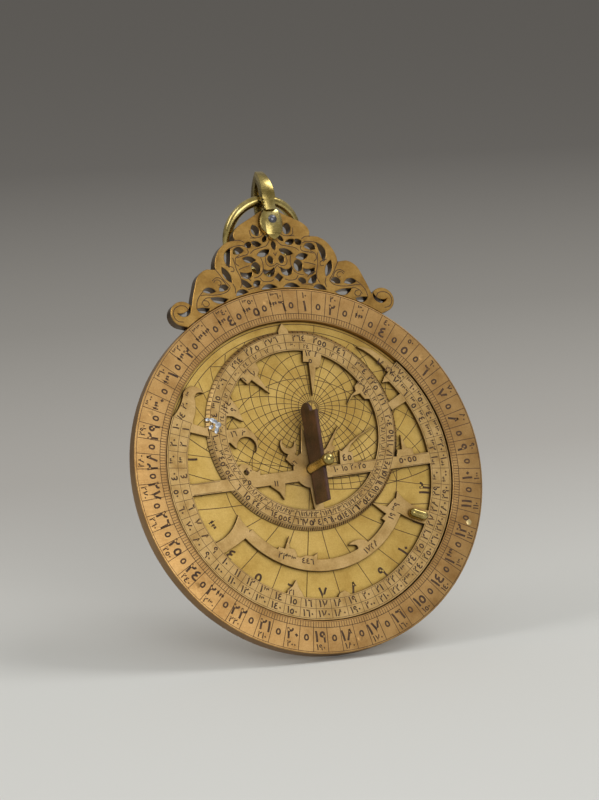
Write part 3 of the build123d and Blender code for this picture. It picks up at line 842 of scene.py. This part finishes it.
# --------------------------------------------------------------------------- mater
@dataclass
class Mater:
    """The body of the instrument: back plate, limb with its degree scale, rivets and peg."""

    radius: float = 78.0
    depth: float = 6.8
    back: float = 1.5
    bore: float = 2.25
    inner: float = 64.2
    turning_steps: int = 256
    tick_inner: float = 64.7
    tick_outer: float = 67.0
    cell_outer: float = 77.2
    rivet_circle: float = 73.2
    rivet_start: float = -23.6
    rivet_radius: float = 1.25
    rivet_shank: float = 1.0
    rivet_count: int = 6
    bright_rivet: int = 0
    back_rings: tuple[float, float, float] = (76.8, 73.6, 70.4)
    back_numbers: float = 66.8
    hub: float = 12.0
    square: float = 44.0
    square_row: float = 4.0

    def dress(self, frame: dict, finishes: Finishes, digits: Digits) -> None:
        """Build the mater's pieces.

        Args:
            finishes: The finishes.
            digits: The dial's digits.
        """
        seat = self.depth - self.back
        limb = turned(
            [
                (self.inner, seat),
                (self.inner, 0.22),
                (self.inner + 0.2, 0.0),
                (self.radius - 0.75, 0.0),
                (self.radius - 0.3, 0.1),
                (self.radius - 0.05, 0.42),
                (self.radius, 0.9),
                (self.radius, seat),
            ],
            self.turning_steps,
        )
        place(limb, "limb", "mater", finishes.get("limb"), ("limb_ring",))
        plate = turned(
            [
                (self.bore, seat),
                (self.radius, seat),
                (self.radius, self.depth - 0.5),
                (self.radius - 0.15, self.depth - 0.15),
                (self.radius - 0.5, self.depth),
                (self.bore, self.depth),
            ],
            self.turning_steps,
        )
        place(plate, "back", "mater", finishes.get("limb"), ("back_plate",))
        self.rivets(finishes)
        self.scale(finishes, digits)
        self.back_lines(finishes, digits)
        recolour(frame, "plate_peg", finishes.get("plug"))

    def rivets(self, finishes: Finishes) -> None:
        """Build the flush rivets, of which one has stayed bright."""
        half = [
            (0.0, -0.05),
            (self.rivet_radius * 0.8, -0.045),
            (self.rivet_radius, 0.02),
            (self.rivet_shank, 0.05),
        ]
        for name, key, wanted in (("rivet_bright", "plug", True), ("rivets_worn", "limb", False)):
            heads = []
            for i in range(self.rivet_count):
                if (i == self.bright_rivet) != wanted:
                    continue
                turn = math.radians(self.rivet_start + 360 / self.rivet_count * i)
                head = turned(two_ended(half, self.depth), 24, closed=False)
                x, z = self.rivet_circle * math.cos(turn), self.rivet_circle * math.sin(turn)
                head.data.transform(Matrix.Translation((x * MM, 0, z * MM)))
                heads.append(head)
            place(join(heads), name, "mater", finishes.get(key), ("limb_rivets",))

    def scale(self, finishes: Finishes, digits: Digits) -> None:
        """Engrave the degree scale of the limb with its plain numbers."""
        work = Engraving(digits, 0.0)
        rings = ((self.tick_outer, 0.24), (self.cell_outer, 0.2), (self.inner + 0.45, 0.14))
        for radius, width in rings:
            work.arc(radius, width, 1.5)
        for degree in range(360):
            if degree % 5:
                work.tick(self.tick_inner, self.tick_outer, degree, 0.2)
            else:
                work.tick(self.tick_inner, self.cell_outer, degree, 0.26)
        for cell in range(72):
            clock = 5 * cell + 2.5
            lean = upright_lean(clock)
            if cell % 2 == 0:
                work.number("5", polar(71.0, clock), 3.3, lean)
                continue
            tens = cell // 2 + 1
            far, near = (75.1, 70.4) if lean == clock else (75.2, 70.8)
            work.number(str(10 * tens), polar(far, clock), 2.3, lean)
            work.number(str(tens), polar(near, clock), 4.3, lean)
        work.done("limb_scale", "mater", finishes.get("line"))

    def back_lines(self, finishes: Finishes, digits: Digits) -> None:
        """Engrave the back: an altitude scale on its upper half and a shadow square below."""
        work = Engraving(digits, self.depth, back=True)
        outer, middle, inner = self.back_rings
        for radius in self.back_rings:
            work.arc(radius, 0.24, 1.5)
        for degree in range(-90, 91):
            work.tick(middle if degree % 5 else inner, outer, degree, 0.2)
        for clock in range(-80, 90, 10):
            work.number(str(90 - abs(clock)), polar(self.back_numbers, clock), 2.6, clock)
        for clock in (-90, 90, 0, 180):
            work.tick(self.hub, inner, clock, 0.24)
        side, row = self.square, self.square - self.square_row
        for reach, width in ((side, 0.24), (row, 0.2)):
            corners = [(-reach, 0), (-reach, -reach), (reach, -reach), (reach, 0)]
            work.stroke(corners, width)
        for part in range(1, 12):
            u = side * part / 12
            for way in (-1, 1):
                work.stroke([(way * u, -row), (way * u, -side)], 0.2)
                work.stroke([(way * row, -u), (way * side, -u)], 0.2)
        for radius in range(30, 61, 6):
            work.arc(radius, 0.16, start=-90, sweep=180)
        work.done("back_scale", "mater", finishes.get("line"))


# --------------------------------------------------------------------------- plates
@dataclass
class PlateStack:
    """The stack of latitude plates, of which the top one shows its projection."""

    face: float = 2.7
    turn: float = -12.0
    latitude: float = 21.5
    obliquity: float = 23.5
    capricorn: float = 60.0
    margin: float = 63.0
    step: int = 6
    zenith_gap: float = 1.6
    off_plate: Point = (999.0, 999.0)
    number_share: float = 0.62

    def dress(self, frame: dict, finishes: Finishes, digits: Digits) -> None:
        """Give the plates their finish and engrave the top one."""
        for number in (1, 2, 3, 4):
            recolour(frame, f"plate_{number}", finishes.get("plate"))
        equator = self.capricorn * math.tan(math.radians((90 - self.obliquity) / 2))
        cancer = equator * math.tan(math.radians((90 - self.obliquity) / 2))
        work = Engraving(digits, self.face, self.turn)
        for radius in (equator, cancer, self.capricorn, self.margin):
            work.arc(radius, 0.28)
        work.stroke([(0, -self.margin), (0, self.margin)], 0.26)
        work.stroke([(-self.capricorn, 0), (self.capricorn, 0)], 0.26)
        self.altitudes(work, equator)
        self.azimuths(work, equator)
        self.hours(work, equator, cancer)
        work.done("plate_lines", "mater", finishes.get("line"))

    def horizon_height(self, point: Point, equator: float) -> float:
        """How far a point lies inside the horizon circle, in millimetres."""
        phi = math.radians(self.latitude)
        centre = equator * math.cos(phi) / math.sin(phi)
        return equator / math.sin(phi) - math.hypot(point[0], point[1] - centre)

    def clipped(
        self, work: Engraving, points: list[Point], equator: float, above: bool, width: float
    ) -> None:
        """Cut only the stretch of a curve that lies on the plate.

        Args:
            work: The sheet of lines.
            points: Points of the curve.
            equator: Radius of the equator's circle.
            above: Whether the curve also stops at the horizon.
            width: Width of the line.
        """
        run: list[Point] = []
        for point in points:
            inside = math.hypot(*point) <= self.capricorn + 0.05
            if above:
                inside = inside and self.horizon_height(point, equator) >= -0.05
            if inside:
                run.append(point)
            else:
                work.stroke(run, width)
                run = []
        work.stroke(run, width)

    def altitudes(self, work: Engraving, equator: float) -> None:
        """Engrave the circles of equal altitude."""
        phi = math.radians(self.latitude)
        for altitude in range(0, 90, self.step):
            a = math.radians(altitude)
            below = math.sin(phi) + math.sin(a)
            centre = equator * math.cos(phi) / below
            radius = equator * math.cos(a) / below
            points = []
            for i in range(361):
                u, v = polar(radius, i)
                points.append((u, centre + v))
            self.clipped(work, points, equator, False, 0.32 if altitude % 30 == 0 else 0.26)

    def azimuths(self, work: Engraving, equator: float) -> None:
        """Engrave the arcs of equal bearing through the zenith."""
        phi = math.radians(self.latitude)
        middle = -equator * math.tan(phi)
        base = equator / math.cos(phi)
        zenith = equator * math.tan(math.pi / 4 - phi / 2)
        for bearing in range(-80, 90, 10):
            b = math.radians(bearing)
            centre = (base * math.tan(b), middle)
            radius = base / math.cos(b)
            points = []
            for i in range(721):
                u, v = polar(radius, i / 2)
                point = (centre[0] + u, centre[1] + v)
                # The arcs stop just short of the zenith, where they would run together.
                crowded = math.hypot(point[0], point[1] - zenith) <= self.zenith_gap
                points.append(self.off_plate if crowded else point)
            self.clipped(work, points, equator, True, 0.25)

    def hours(self, work: Engraving, equator: float, cancer: float) -> None:
        """Engrave the unequal hour lines below the horizon, numbered 1 to 12."""
        phi = math.radians(self.latitude)
        centre = equator * math.cos(phi) / math.sin(phi)
        big = equator / math.sin(phi)
        ends = []
        for radius in (cancer, equator, self.capricorn):
            # The two points where this circle meets the horizon.
            v = (radius**2 - big**2 + centre**2) / (2 * centre)
            half = math.degrees(math.atan2(math.sqrt(max(radius**2 - v**2, 0)), v))
            ends.append((radius, half))
        for hour in range(1, 12):
            line = []
            for radius, half in ends:
                clock = half + (360 - 2 * half) * hour / 12
                line.append(polar(radius, clock))
            work.stroke(self.through(*line), 0.3)
        share = self.number_share
        radius = share * self.capricorn + (1 - share) * equator
        half = share * ends[2][1] + (1 - share) * ends[1][1]
        for hour in range(1, 13):
            clock = half + (360 - 2 * half) * (hour - 0.5) / 12
            work.number(str(13 - hour), polar(radius, clock), 4.4, upright_lean(clock))

    @staticmethod
    def through(a: Point, b: Point, c: Point) -> list[Point]:
        """Points of the smooth arc that runs from a through b to c."""
        out = []
        for i in range(25):
            t = i / 24
            wa, wb, wc = 2 * (t - 0.5) * (t - 1), -4 * t * (t - 1), 2 * t * (t - 0.5)
            out.append((wa * a[0] + wb * b[0] + wc * c[0], wa * a[1] + wb * b[1] + wc * c[1]))
        return out


# --------------------------------------------------------------------------- rete
@dataclass
class StarMap:
    """The pierced star map that turns over the plates, with its knob."""

    face: float = 0.85
    filed: float = 0.14
    turn: float = 2.2
    obliquity: float = 23.5
    centre: Point = (0.0, 17.1)
    ring_rows: tuple[float, float, float] = (34.7, 37.7, 41.3)
    bevel_start: float = 41.6
    bevel: float = 1.3
    band_rows: tuple[float, float, float] = (55.1, 59.0, 63.1)
    band_start: float = -62.2
    band_sweep: float = -247.8
    band_cells: int = 37
    ring_numbers: Point = (36.2, 39.5)
    band_numbers: Point = (56.9, 61.1)

    def dress(self, frame: dict, finishes: Finishes, digits: Digits) -> None:
        """Build the star map's pieces."""
        body = copy_of_node(frame, "rete")
        file_edges(body, self.filed, SHEET_AXIS)
        place(body, "star_map", "star_map", finishes.get("rete"), ("rete",))
        knob = copy_of_node(frame, "rete_knob")
        shade(knob, 40)
        burnished = finishes.get("polished")
        place(knob, "knob", "star_map", burnished, ("rete_knob",))
        work = Engraving(digits, self.face, self.turn)
        self.zodiac(work)
        self.band(work)
        self.labels(work)
        work.done("star_map_marks", "star_map", finishes.get("line"))
        self.mends(finishes)

    def on_ring(self, longitude: float, radius: float) -> Point:
        """Where the ray of an ecliptic longitude meets a circle about the ring's centre.

        Args:
            longitude: Degrees along the ecliptic; 270, the winter solstice, stands at the top.
            radius: Radius of the circle in millimetres.

        Returns:
            The point on the sheet.
        """
        lam, eps = math.radians(longitude), math.radians(self.obliquity)
        ascension = math.degrees(math.atan2(math.cos(eps) * math.sin(lam), math.cos(lam)))
        u, v = polar(1.0, 270 - ascension)
        dot = u * self.centre[0] + v * self.centre[1]
        gap = dot**2 - (self.centre[0] ** 2 + self.centre[1] ** 2 - radius**2)
        reach = dot + math.sqrt(max(gap, 0.0))
        return (u * reach, v * reach)

    def ring_clock(self, at: Point) -> float:
        """Clockwise angle of a point about the ring's own centre, in degrees."""
        return math.degrees(math.atan2(at[0] - self.centre[0], at[1] - self.centre[1]))

    def ring_number(
        self, work: Engraving, longitude: float, radius: float, height: float, value: int
    ) -> None:
        """Cut a number in a row of the ring."""
        at = self.on_ring(longitude, radius)
        clock = self.ring_clock(at)
        lean = clock if abs(clock) < 95 else clock - 180
        work.number(str(value), at, height, lean)

    def zodiac(self, work: Engraving) -> None:
        """Engrave the ecliptic ring: borders, sign divisions and numbers."""
        inner, middle, outer = self.ring_rows
        for radius, width in ((inner, 0.16), (middle, 0.2), (outer, 0.2)):
            work.arc(radius, width, centre=self.centre)
        for part in range(360):
            if part % 2 == 0:
                clock = self.ring_clock(self.on_ring(part, self.bevel_start))
                width = 0.34 if part % 10 else 0.5
                work.bevel_tick(self.centre, self.bevel_start, self.bevel, clock, width)
            if part % 30 == 0:
                work.stroke([self.on_ring(part, inner), self.on_ring(part, outer)], 0.28)
            elif part % 6 == 0:
                work.stroke([self.on_ring(part, inner), self.on_ring(part, middle)], 0.2)
        near, far = self.ring_numbers
        for start in range(0, 360, 30):
            for degree in (3, 9, 15, 21, 27):
                self.ring_number(work, start + degree, near, 1.7, degree + 3)
            for degree, height in ((6, 2.5), (15, 2.7), (24, 2.5)):
                self.ring_number(work, start + degree, far, height, start + degree)

    def band(self, work: Engraving) -> None:
        """Engrave the two rows of numbered cells on the outer band."""
        inner, middle, outer = self.band_rows
        for radius, width in ((middle, 0.16), (inner, 0.14), (outer, 0.16)):
            work.arc(radius, width, start=self.band_start, sweep=self.band_sweep)
        for cell in range(self.band_cells + 1):
            clock = self.band_start + self.band_sweep * cell / self.band_cells
            work.tick(inner, outer, clock, 0.18)
        near, far = self.band_numbers
        for cell in range(self.band_cells):
            clock = self.band_start + self.band_sweep * (cell + 0.5) / self.band_cells
            lean = upright_lean(clock)
            work.number(str(10 * (cell + 1)), polar(far, clock), 2.7, lean)
            work.number(str(cell + 1), polar(near, clock), 2.8, lean)

    def labels(self, work: Engraving) -> None:
        """Engrave a plain number at the foot of each star pointer."""
        spots: list[tuple[str, Point, float, float]] = [
            ("14", (-52.6, 29.4), 2.5, -35),
            ("20", (-50.0, 33.6), 2.5, -40),
            ("3", (-47.4, 37.6), 2.4, -45),
            ("12", (9.4, 49.2), 2.3, 5),
            ("8", (12.9, 48.4), 2.3, 5),
            ("5", (9.6, 46.0), 2.2, 5),
            ("31", (-19.8, 44.0), 2.3, -28),
            ("7", (-16.9, 43.0), 2.3, -28),
            ("6", (-22.0, 41.2), 2.2, -28),
            ("24", (-31.8, 31.6), 2.4, -45),
            ("9", (-29.4, 29.0), 2.3, -45),
            ("1", (-32.8, 28.7), 2.2, -45),
            ("16", (-31.2, 19.0), 2.2, -5),
            ("2", (-27.0, 18.9), 2.1, 25),
            ("36", (30.0, 32.2), 2.5, 45),
            ("4", (31.9, 29.4), 2.3, 55),
            ("18", (41.6, 41.4), 2.4, 45),
            ("27", (44.9, 37.4), 2.5, 50),
            ("30", (48.2, 33.2), 2.5, 55),
            ("10", (10.9, -1.4), 2.3, 0),
            ("15", (14.9, -1.4), 2.3, 0),
            ("20", (18.9, -1.4), 2.3, 0),
            ("25", (22.9, -1.4), 2.3, 0),
            ("45", (17.0, 3.0), 2.7, 0),
            ("50", (42.0, -1.2), 2.8, 0),
            ("55", (46.4, -1.2), 2.8, 0),
            ("40", (-28.0, 2.9), 2.2, 0),
            ("35", (-29.8, -1.8), 2.3, 0),
            ("11", (-17.0, -4.0), 2.2, 10),
            ("22", (-20.9, -34.2), 2.4, 30),
            ("33", (-17.6, -35.8), 2.4, 27),
            ("44", (-11.0, -37.7), 2.2, 15),
            ("6", (-8.3, -38.5), 2.2, 12),
            ("17", (17.6, -36.9), 2.4, -25),
            ("28", (20.9, -35.1), 2.4, -30),
            ("19", (31.6, -24.4), 2.4, -50),
            ("39", (34.2, -20.9), 2.4, -55),
            ("21", (-20.3, -49.6), 2.2, 22),
            ("16", (-7.2, 3.4), 1.8, -30),
            ("23", (9.4, 5.4), 1.8, 30),
        ]
        for text, at, height, lean in spots:
            work.number(text, at, height, lean)
        for v in (0.1, -4.1):
            for start, end in ((-54.0, -41.5), (8.6, 31.0), (41.5, 54.0)):
                work.stroke([(start, v), (end, v)], 0.16)

    def mends(self, finishes: Finishes) -> None:
        """Lay the drops of solder of an old mend on the ecliptic ring."""
        rng = random.Random(3)
        # Place of each drop on the sheet, then its half length and half width.
        spots = [
            ((-39.0, 25.6), 1.7, 0.8),
            ((-37.2, 23.6), 1.2, 1.0),
            ((-40.6, 23.0), 0.9, 0.7),
            ((-38.4, 21.4), 0.8, 1.3),
            ((-41.6, 26.4), 0.7, 0.6),
        ]
        cos, sin = math.cos(math.radians(self.turn)), math.sin(math.radians(self.turn))
        drops = []
        for (u, v), length, width in spots:
            bpy.ops.object.select_all(action="DESELECT")
            bpy.ops.mesh.primitive_uv_sphere_add(segments=20, ring_count=10, radius=MM)
            drop = bpy.context.active_object
            for vertex in drop.data.vertices:
                swell = 1 + 0.25 * rng.random()
                vertex.co.x *= length * swell
                vertex.co.z *= width * swell
                vertex.co.y *= 0.16
            at = ((u * cos - v * sin) * MM, self.face * MM, (u * sin + v * cos) * MM)
            turn = Matrix.Rotation(rng.uniform(-0.6, 0.6), 4, "Y")
            drop.data.transform(Matrix.Translation(at) @ turn)
            drops.append(drop)
        piece = join(drops)
        shade(piece, 60)
        place(piece, "solder_mend", "star_map", finishes.get("solder"))


# --------------------------------------------------------------------------- throne
@dataclass
class Throne:
    """The pierced crest on top of the limb."""

    face: float = 0.2
    thickness: float = 5.4
    filed: float = 0.22
    line_width: float = 0.34
    # Chased lines of the right half that part its stems, leaves and curls.
    scrolls: tuple[tuple[Point, ...], ...] = (
        (
            (43.0, 71.4), (44.2, 73.3), (46.8, 73.7), (49.2, 72.4),
            (50.0, 69.8), (48.6, 67.3), (46.0, 66.7),
        ),
        ((39.2, 72.2), (38.6, 75.0), (37.0, 77.4), (35.2, 79.2)),
        ((36.2, 73.9), (35.7, 72.8), (34.3, 72.6), (33.4, 73.6), (34.0, 74.9), (35.6, 75.2)),
        ((36.6, 77.4), (34.4, 77.6), (31.0, 77.3), (27.4, 77.5), (24.4, 78.4), (22.7, 80.2)),
        ((32.5, 76.3), (34.2, 76.2), (36.0, 75.0), (36.8, 73.4)),
        ((29.8, 82.6), (29.0, 83.6), (27.5, 83.6), (26.6, 82.5), (27.1, 81.4), (28.2, 81.6)),
        ((30.4, 83.4), (28.4, 84.7), (26.2, 84.0), (24.4, 81.4)),
        ((20.2, 96.9), (18.0, 97.7), (15.0, 98.0), (13.2, 97.4)),
        ((12.4, 96.2), (12.0, 95.0), (12.8, 93.9), (15.4, 93.3), (17.6, 92.6)),
        ((17.3, 100.2), (15.0, 100.2), (13.2, 99.2)),
        ((28.2, 88.3), (26.7, 86.0), (25.4, 83.8), (24.0, 82.0), (22.8, 80.6)),
        ((23.2, 89.6), (21.6, 89.4), (19.9, 88.4), (20.0, 87.0), (21.4, 87.0)),
        ((19.5, 92.8), (19.0, 90.0), (18.6, 87.4), (17.6, 84.6), (17.2, 82.0), (18.2, 79.6)),
        ((21.4, 81.6), (20.6, 79.4), (21.0, 77.4)),
        ((1.6, 99.4), (3.4, 97.2), (6.4, 96.4), (9.4, 95.6), (11.2, 94.2)),
        ((4.6, 92.2), (4.9, 90.0), (3.9, 88.3), (1.9, 88.2), (0.0, 89.2)),
        ((0.7, 93.9), (0.0, 92.6)),
        ((2.6, 85.4), (1.0, 87.4), (0.0, 88.4)),
        ((2.5, 82.2), (4.6, 81.5), (7.4, 81.8), (8.8, 83.4)),
        ((6.9, 92.2), (6.3, 89.4), (7.0, 86.0), (9.2, 84.0), (11.4, 83.5)),
        ((12.5, 89.0), (15.4, 88.3), (17.6, 87.5)),
        ((16.2, 93.8), (18.2, 92.6), (18.6, 90.4), (17.2, 89.0)),
        ((10.2, 101.0), (7.4, 100.9), (5.0, 101.4), (3.4, 103.0)),
        ((9.9, 104.4), (9.6, 101.9), (7.9, 100.8)),
        ((13.0, 82.4), (15.0, 84.2), (17.0, 84.6)),
        ((9.6, 79.6), (12.4, 79.2), (15.0, 78.6)),
    )

    def dress(self, frame: dict, finishes: Finishes, digits: Digits) -> None:
        """Build the throne with its filed edges and chased lines, on both faces."""
        body = copy_of_node(frame, "throne")
        file_edges(body, self.filed, SHEET_AXIS)
        place(body, "crest", "mater", finishes.get("throne"), ("throne",))
        for name, depth, back in (
            ("crest_lines", self.face, False),
            ("crest_lines_back", self.face + self.thickness, True),
        ):
            work = Engraving(digits, depth, back=back)
            for side in (-1, 1):
                for line in self.scrolls:
                    work.stroke(smooth([(side * u, v) for u, v in line]), self.line_width)
            work.done(name, "mater", finishes.get("line"))


# --------------------------------------------------------------------------- suspension
@dataclass
class Suspension:
    """The shackle on its iron rivet and the ring that hangs from it."""

    pin_height: float = 107.8
    shank: float = 1.5
    head_radius: float = 1.85
    head_front: float = -3.5
    head_back: float = 9.3
    head_rise: float = 0.9
    wire: float = 2.2
    ring: float = 15.7
    top: Place = (0.0, 3.4, 118.2)
    tilt: float = 29.0

    def dress(self, frame: dict, finishes: Finishes) -> None:
        """Build the shackle, its rivet and the ring."""
        burnished = finishes.get("polished")
        shackle = copy_of_node(frame, "shackle", joined=True)
        round_edges(shackle, 0.3, 40.0, 3)
        place(shackle, "bail", "bail", burnished, ("shackle",))
        dome = [(0.0, 1.0), (0.7, 0.94), (1.3, 0.66), (self.head_radius, 0.0)]
        half = [(radius, self.head_front - self.head_rise * rise) for radius, rise in dome]
        half.append((self.shank, self.head_front + 0.1))
        outline = two_ended(half, self.head_front + self.head_back)
        rivet = turned(outline, 32, closed=False)
        rivet.data.transform(Matrix.Translation((0, 0, self.pin_height * MM)))
        place(rivet, "bail_rivet", "bail", finishes.get("iron"), ("shackle_pin",))
        lean = math.radians(self.tilt)
        bpy.ops.object.select_all(action="DESELECT")
        bpy.ops.mesh.primitive_torus_add(
            major_radius=self.ring * MM,
            minor_radius=self.wire * MM,
            major_segments=128,
            minor_segments=28,
            location=(
                self.top[0] * MM,
                (self.top[1] + self.ring * math.sin(lean)) * MM,
                (self.top[2] - self.ring * math.cos(lean)) * MM,
            ),
            rotation=(math.pi / 2 + lean, 0, 0),
        )
        ring = bpy.context.active_object
        bpy.ops.object.shade_smooth()
        place(ring, "ring", "hanging_ring", burnished, ("suspension_ring",))


# --------------------------------------------------------------------------- pin and wedge
@dataclass
class PinAndWedge:
    """The pivot pin with its ball end and the wedge that locks the stack."""

    filed: float = 0.28

    def dress(self, frame: dict, finishes: Finishes) -> None:
        """Build the pin and the wedge."""
        pin = copy_of_node(frame, "pivot_pin")
        shade(pin, 30)
        place(pin, "pin", "pin", finishes.get("polished"), ("pivot_pin",))
        wedge = copy_of_node(frame, "wedge")
        file_edges(wedge, self.filed, WEDGE_AXIS)
        skin = finishes.get("wedge")
        place(wedge, "wedge_body", "wedge", skin, ("wedge",))


# --------------------------------------------------------------------------- alidade
@dataclass
class Alidade:
    """The sighting bar at the back with its two vanes."""

    back_face: float = 9.05
    filed: float = 0.16
    hub: float = 11.0
    line_runs: tuple[Point, ...] = ((10.5, 51.0), (59.0, 73.0))
    division: float = 4.0

    def dress(self, frame: dict, finishes: Finishes, digits: Digits) -> None:
        """Build the bar, its vanes and their rivets."""
        for node, name, key, slot in (
            ("alidade", "bar", "limb", Slot.LIMB),
            ("vane_1", "sight_1", "limb", Slot.LIMB),
            ("vane_2", "sight_2", "limb", Slot.LIMB),
            ("vane_rivets", "sight_rivets", "plug", Slot.RIVET),
        ):
            piece = copy_of_node(frame, node)
            if node == "vane_rivets":
                shade(piece, 30)
            else:
                file_edges(piece, self.filed, SHEET_AXIS)
            place(piece, name, "sighting_bar", finishes.get(key), (node,))
        work = Engraving(digits, self.back_face, back=True)
        for way in (-1, 1):
            for start, end in self.line_runs:
                work.stroke([(way * start, 0), (way * end, 0)], 0.24)
            for part in range(1, 10):
                u = way * (self.hub + self.division * part)
                work.stroke([(u, 0), (u, 4.6 if part % 2 else 3.0)], 0.18)
        work.done("bar_lines", "sighting_bar", finishes.get("line"))


# --------------------------------------------------------------------------- studio
@dataclass
class Studio:
    """Pale floor, soft lights and the camera of the photograph."""

    camera_at: Place = (-504.86, -1143.03, -219.52)
    right: Place = (0.91497, -0.36737, -0.16694)
    up: Place = (0.07795, -0.24499, 0.96639)
    forward: Place = (0.39592, 0.89723, 0.19552)
    focal_px: float = 3049.8
    frame_height_px: float = 800.0
    floor_up: Place = (0.0, -0.4137, 0.9104)
    floor_level: float = -73.9
    floor_size: float = 16.0
    fibre_mm: float = 10 / 9
    sensor_mm: float = 36.0

    def build(self) -> None:
        """Build the whole studio."""
        self.camera()
        self.floor()
        self.world()
        self.lamps()
        bpy.context.scene.view_settings.view_transform = "Standard"

    def camera(self) -> None:
        """Create the camera at the photograph's place and angle."""
        data = bpy.data.cameras.new("camera")
        data.sensor_fit = "VERTICAL"
        data.sensor_height = self.sensor_mm
        data.lens = self.focal_px / self.frame_height_px * self.sensor_mm
        data.clip_start = 0.05
        data.clip_end = 20.0
        camera = bpy.data.objects.new("camera", data)
        turn = Matrix((self.right, self.up, tuple(-c for c in self.forward))).transposed()
        camera.matrix_world = Matrix.Translation(Vector(self.camera_at) * MM) @ turn.to_4x4()
        bpy.context.scene.collection.objects.link(camera)
        bpy.context.scene.camera = camera

    def floor_turn(self) -> Matrix:
        """Rotation that lays a flat piece on the floor's slope."""
        turn = Vector((0, 0, 1)).rotation_difference(Vector(self.floor_up))
        return turn.to_matrix().to_4x4()

    def floor(self) -> None:
        """Create the pale floor that the rim touches, with painted shade that darkens it towards
        the back.
        """
        bpy.ops.object.select_all(action="DESELECT")
        bpy.ops.mesh.primitive_grid_add(
            x_subdivisions=4, y_subdivisions=4, size=self.floor_size
        )
        floor = bpy.context.active_object
        floor.name = "floor"
        sink = Matrix.Translation((0, 0, self.floor_level * MM))
        floor.matrix_world = self.floor_turn() @ sink
        material = bpy.data.materials.new("matt paper")
        tree = new_tree(material)
        place_in = add_node(tree, "ShaderNodeTexCoord", {}, {}).outputs["Object"]
        split = add_node(tree, "ShaderNodeSeparateXYZ", {}, {"Vector": place_in})
        along = remap(tree, split.outputs["Y"], (-0.6, 1.6))
        # Painted shade: the floor's colour falls from pale at the front to grey at the back.
        painted_falloff_greys = [
            (0.0, "#DADAD7"),
            (0.27, "#D0D0CC"),
            (0.42, "#B4B1AC"),
            (0.62, "#9C9994"),
            (1.0, "#807D79"),
        ]
        fibre = noise(tree, place_in, self.fibre_mm, 2.0, 0.5)
        settings = {"Strength": 0.05, "Distance": 0.2 * MM}
        relief = add_node(tree, "ShaderNodeBump", settings, {"Height": fibre})
        shader = add_node(
            tree,
            "ShaderNodeBsdfPrincipled",
            {"Roughness": 0.95, "Specular IOR Level": 0.0},
            {"Base Color": ramp(tree, along, painted_falloff_greys), "Normal": relief.outputs["Normal"]},
        )
        # Seen from below the sheet is clear, so that it never hides the object.
        clear = add_node(tree, "ShaderNodeBsdfTransparent", {}, {})
        side = add_node(tree, "ShaderNodeNewGeometry", {}, {})
        mixed = add_node(
            tree,
            "ShaderNodeMixShader",
            {},
            {0: side.outputs["Backfacing"], 1: shader.outputs["BSDF"], 2: clear.outputs["BSDF"]},
        )
        add_node(tree, "ShaderNodeOutputMaterial", {}, {"Surface": mixed.outputs["Shader"]})
        floor.data.materials.append(material)

    def world(self) -> None:
        """Light the room softly, brighter overhead."""
        world = bpy.data.worlds.new("studio")
        bpy.context.scene.world = world
        tree = new_tree(world)
        direction = add_node(tree, "ShaderNodeTexCoord", {}, {}).outputs["Generated"]
        height = add_node(
            tree,
            "ShaderNodeVectorMath",
            {"operation": "DOT_PRODUCT", 1: self.floor_up},
            {0: direction},
        )
        along = remap(tree, height.outputs["Value"], (-0.3, 1.0))
        tone = ramp(tree, along, [(0.0, "#A8A5A0"), (1.0, "#F4F3F0")])
        light = add_node(tree, "ShaderNodeBackground", {"Strength": 0.62}, {"Color": tone})
        add_node(tree, "ShaderNodeOutputWorld", {}, {"Surface": light.outputs["Background"]})

    def lamps(self) -> None:
        """Hang the soft boxes."""
        self.lamp("key", (1000, -700, 1300), (0, 0, 10), (0.7, 0.7), 9.0)
        self.lamp("front", (-150, -1900, -60), (0, 0, 10), (1.3, 1.0), 13.0)
        self.lamp("left", (-1300, -350, 900), (0, 0, 20), (0.5, 1.2), 6.0)

    def lamp(
        self, name: str, at: Place, towards: Place, size: tuple[float, float], power: float
    ) -> None:
        """Hang one soft box.

        Args:
            name: The lamp's name.
            at: Its place in millimetres.
            towards: The point that it faces, in millimetres.
            size: Its width and height in metres.
            power: Its power in watts.
        """
        data = bpy.data.lights.new(name, "AREA")
        data.shape = "RECTANGLE"
        data.size, data.size_y = size
        data.energy = power
        lamp = bpy.data.objects.new(name, data)
        place_at = Vector(at) * MM
        aim = (Vector(towards) * MM - place_at).to_track_quat("-Z", "Y")
        lamp.matrix_world = Matrix.Translation(place_at) @ aim.to_matrix().to_4x4()
        bpy.context.scene.collection.objects.link(lamp)


def corners(box: tuple[Place, Place]) -> list[list[float]]:
    return [[float(c) for c in corner] for corner in box]


def main() -> None:
    """Build the studio and dress every sub-assembly, in order."""
    logging.basicConfig(level=logging.INFO, format="%(name)s %(message)s")
    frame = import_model()
    Studio().build()
    finishes = Finishes()
    digits = Digits()
    Mater().dress(frame, finishes, digits)
    PlateStack().dress(frame, finishes, digits)
    StarMap().dress(frame, finishes, digits)
    Throne().dress(frame, finishes, digits)
    Suspension().dress(frame, finishes)
    PinAndWedge().dress(frame, finishes)
    Alidade().dress(frame, finishes, digits)


if __name__ == "__main__":
    main()
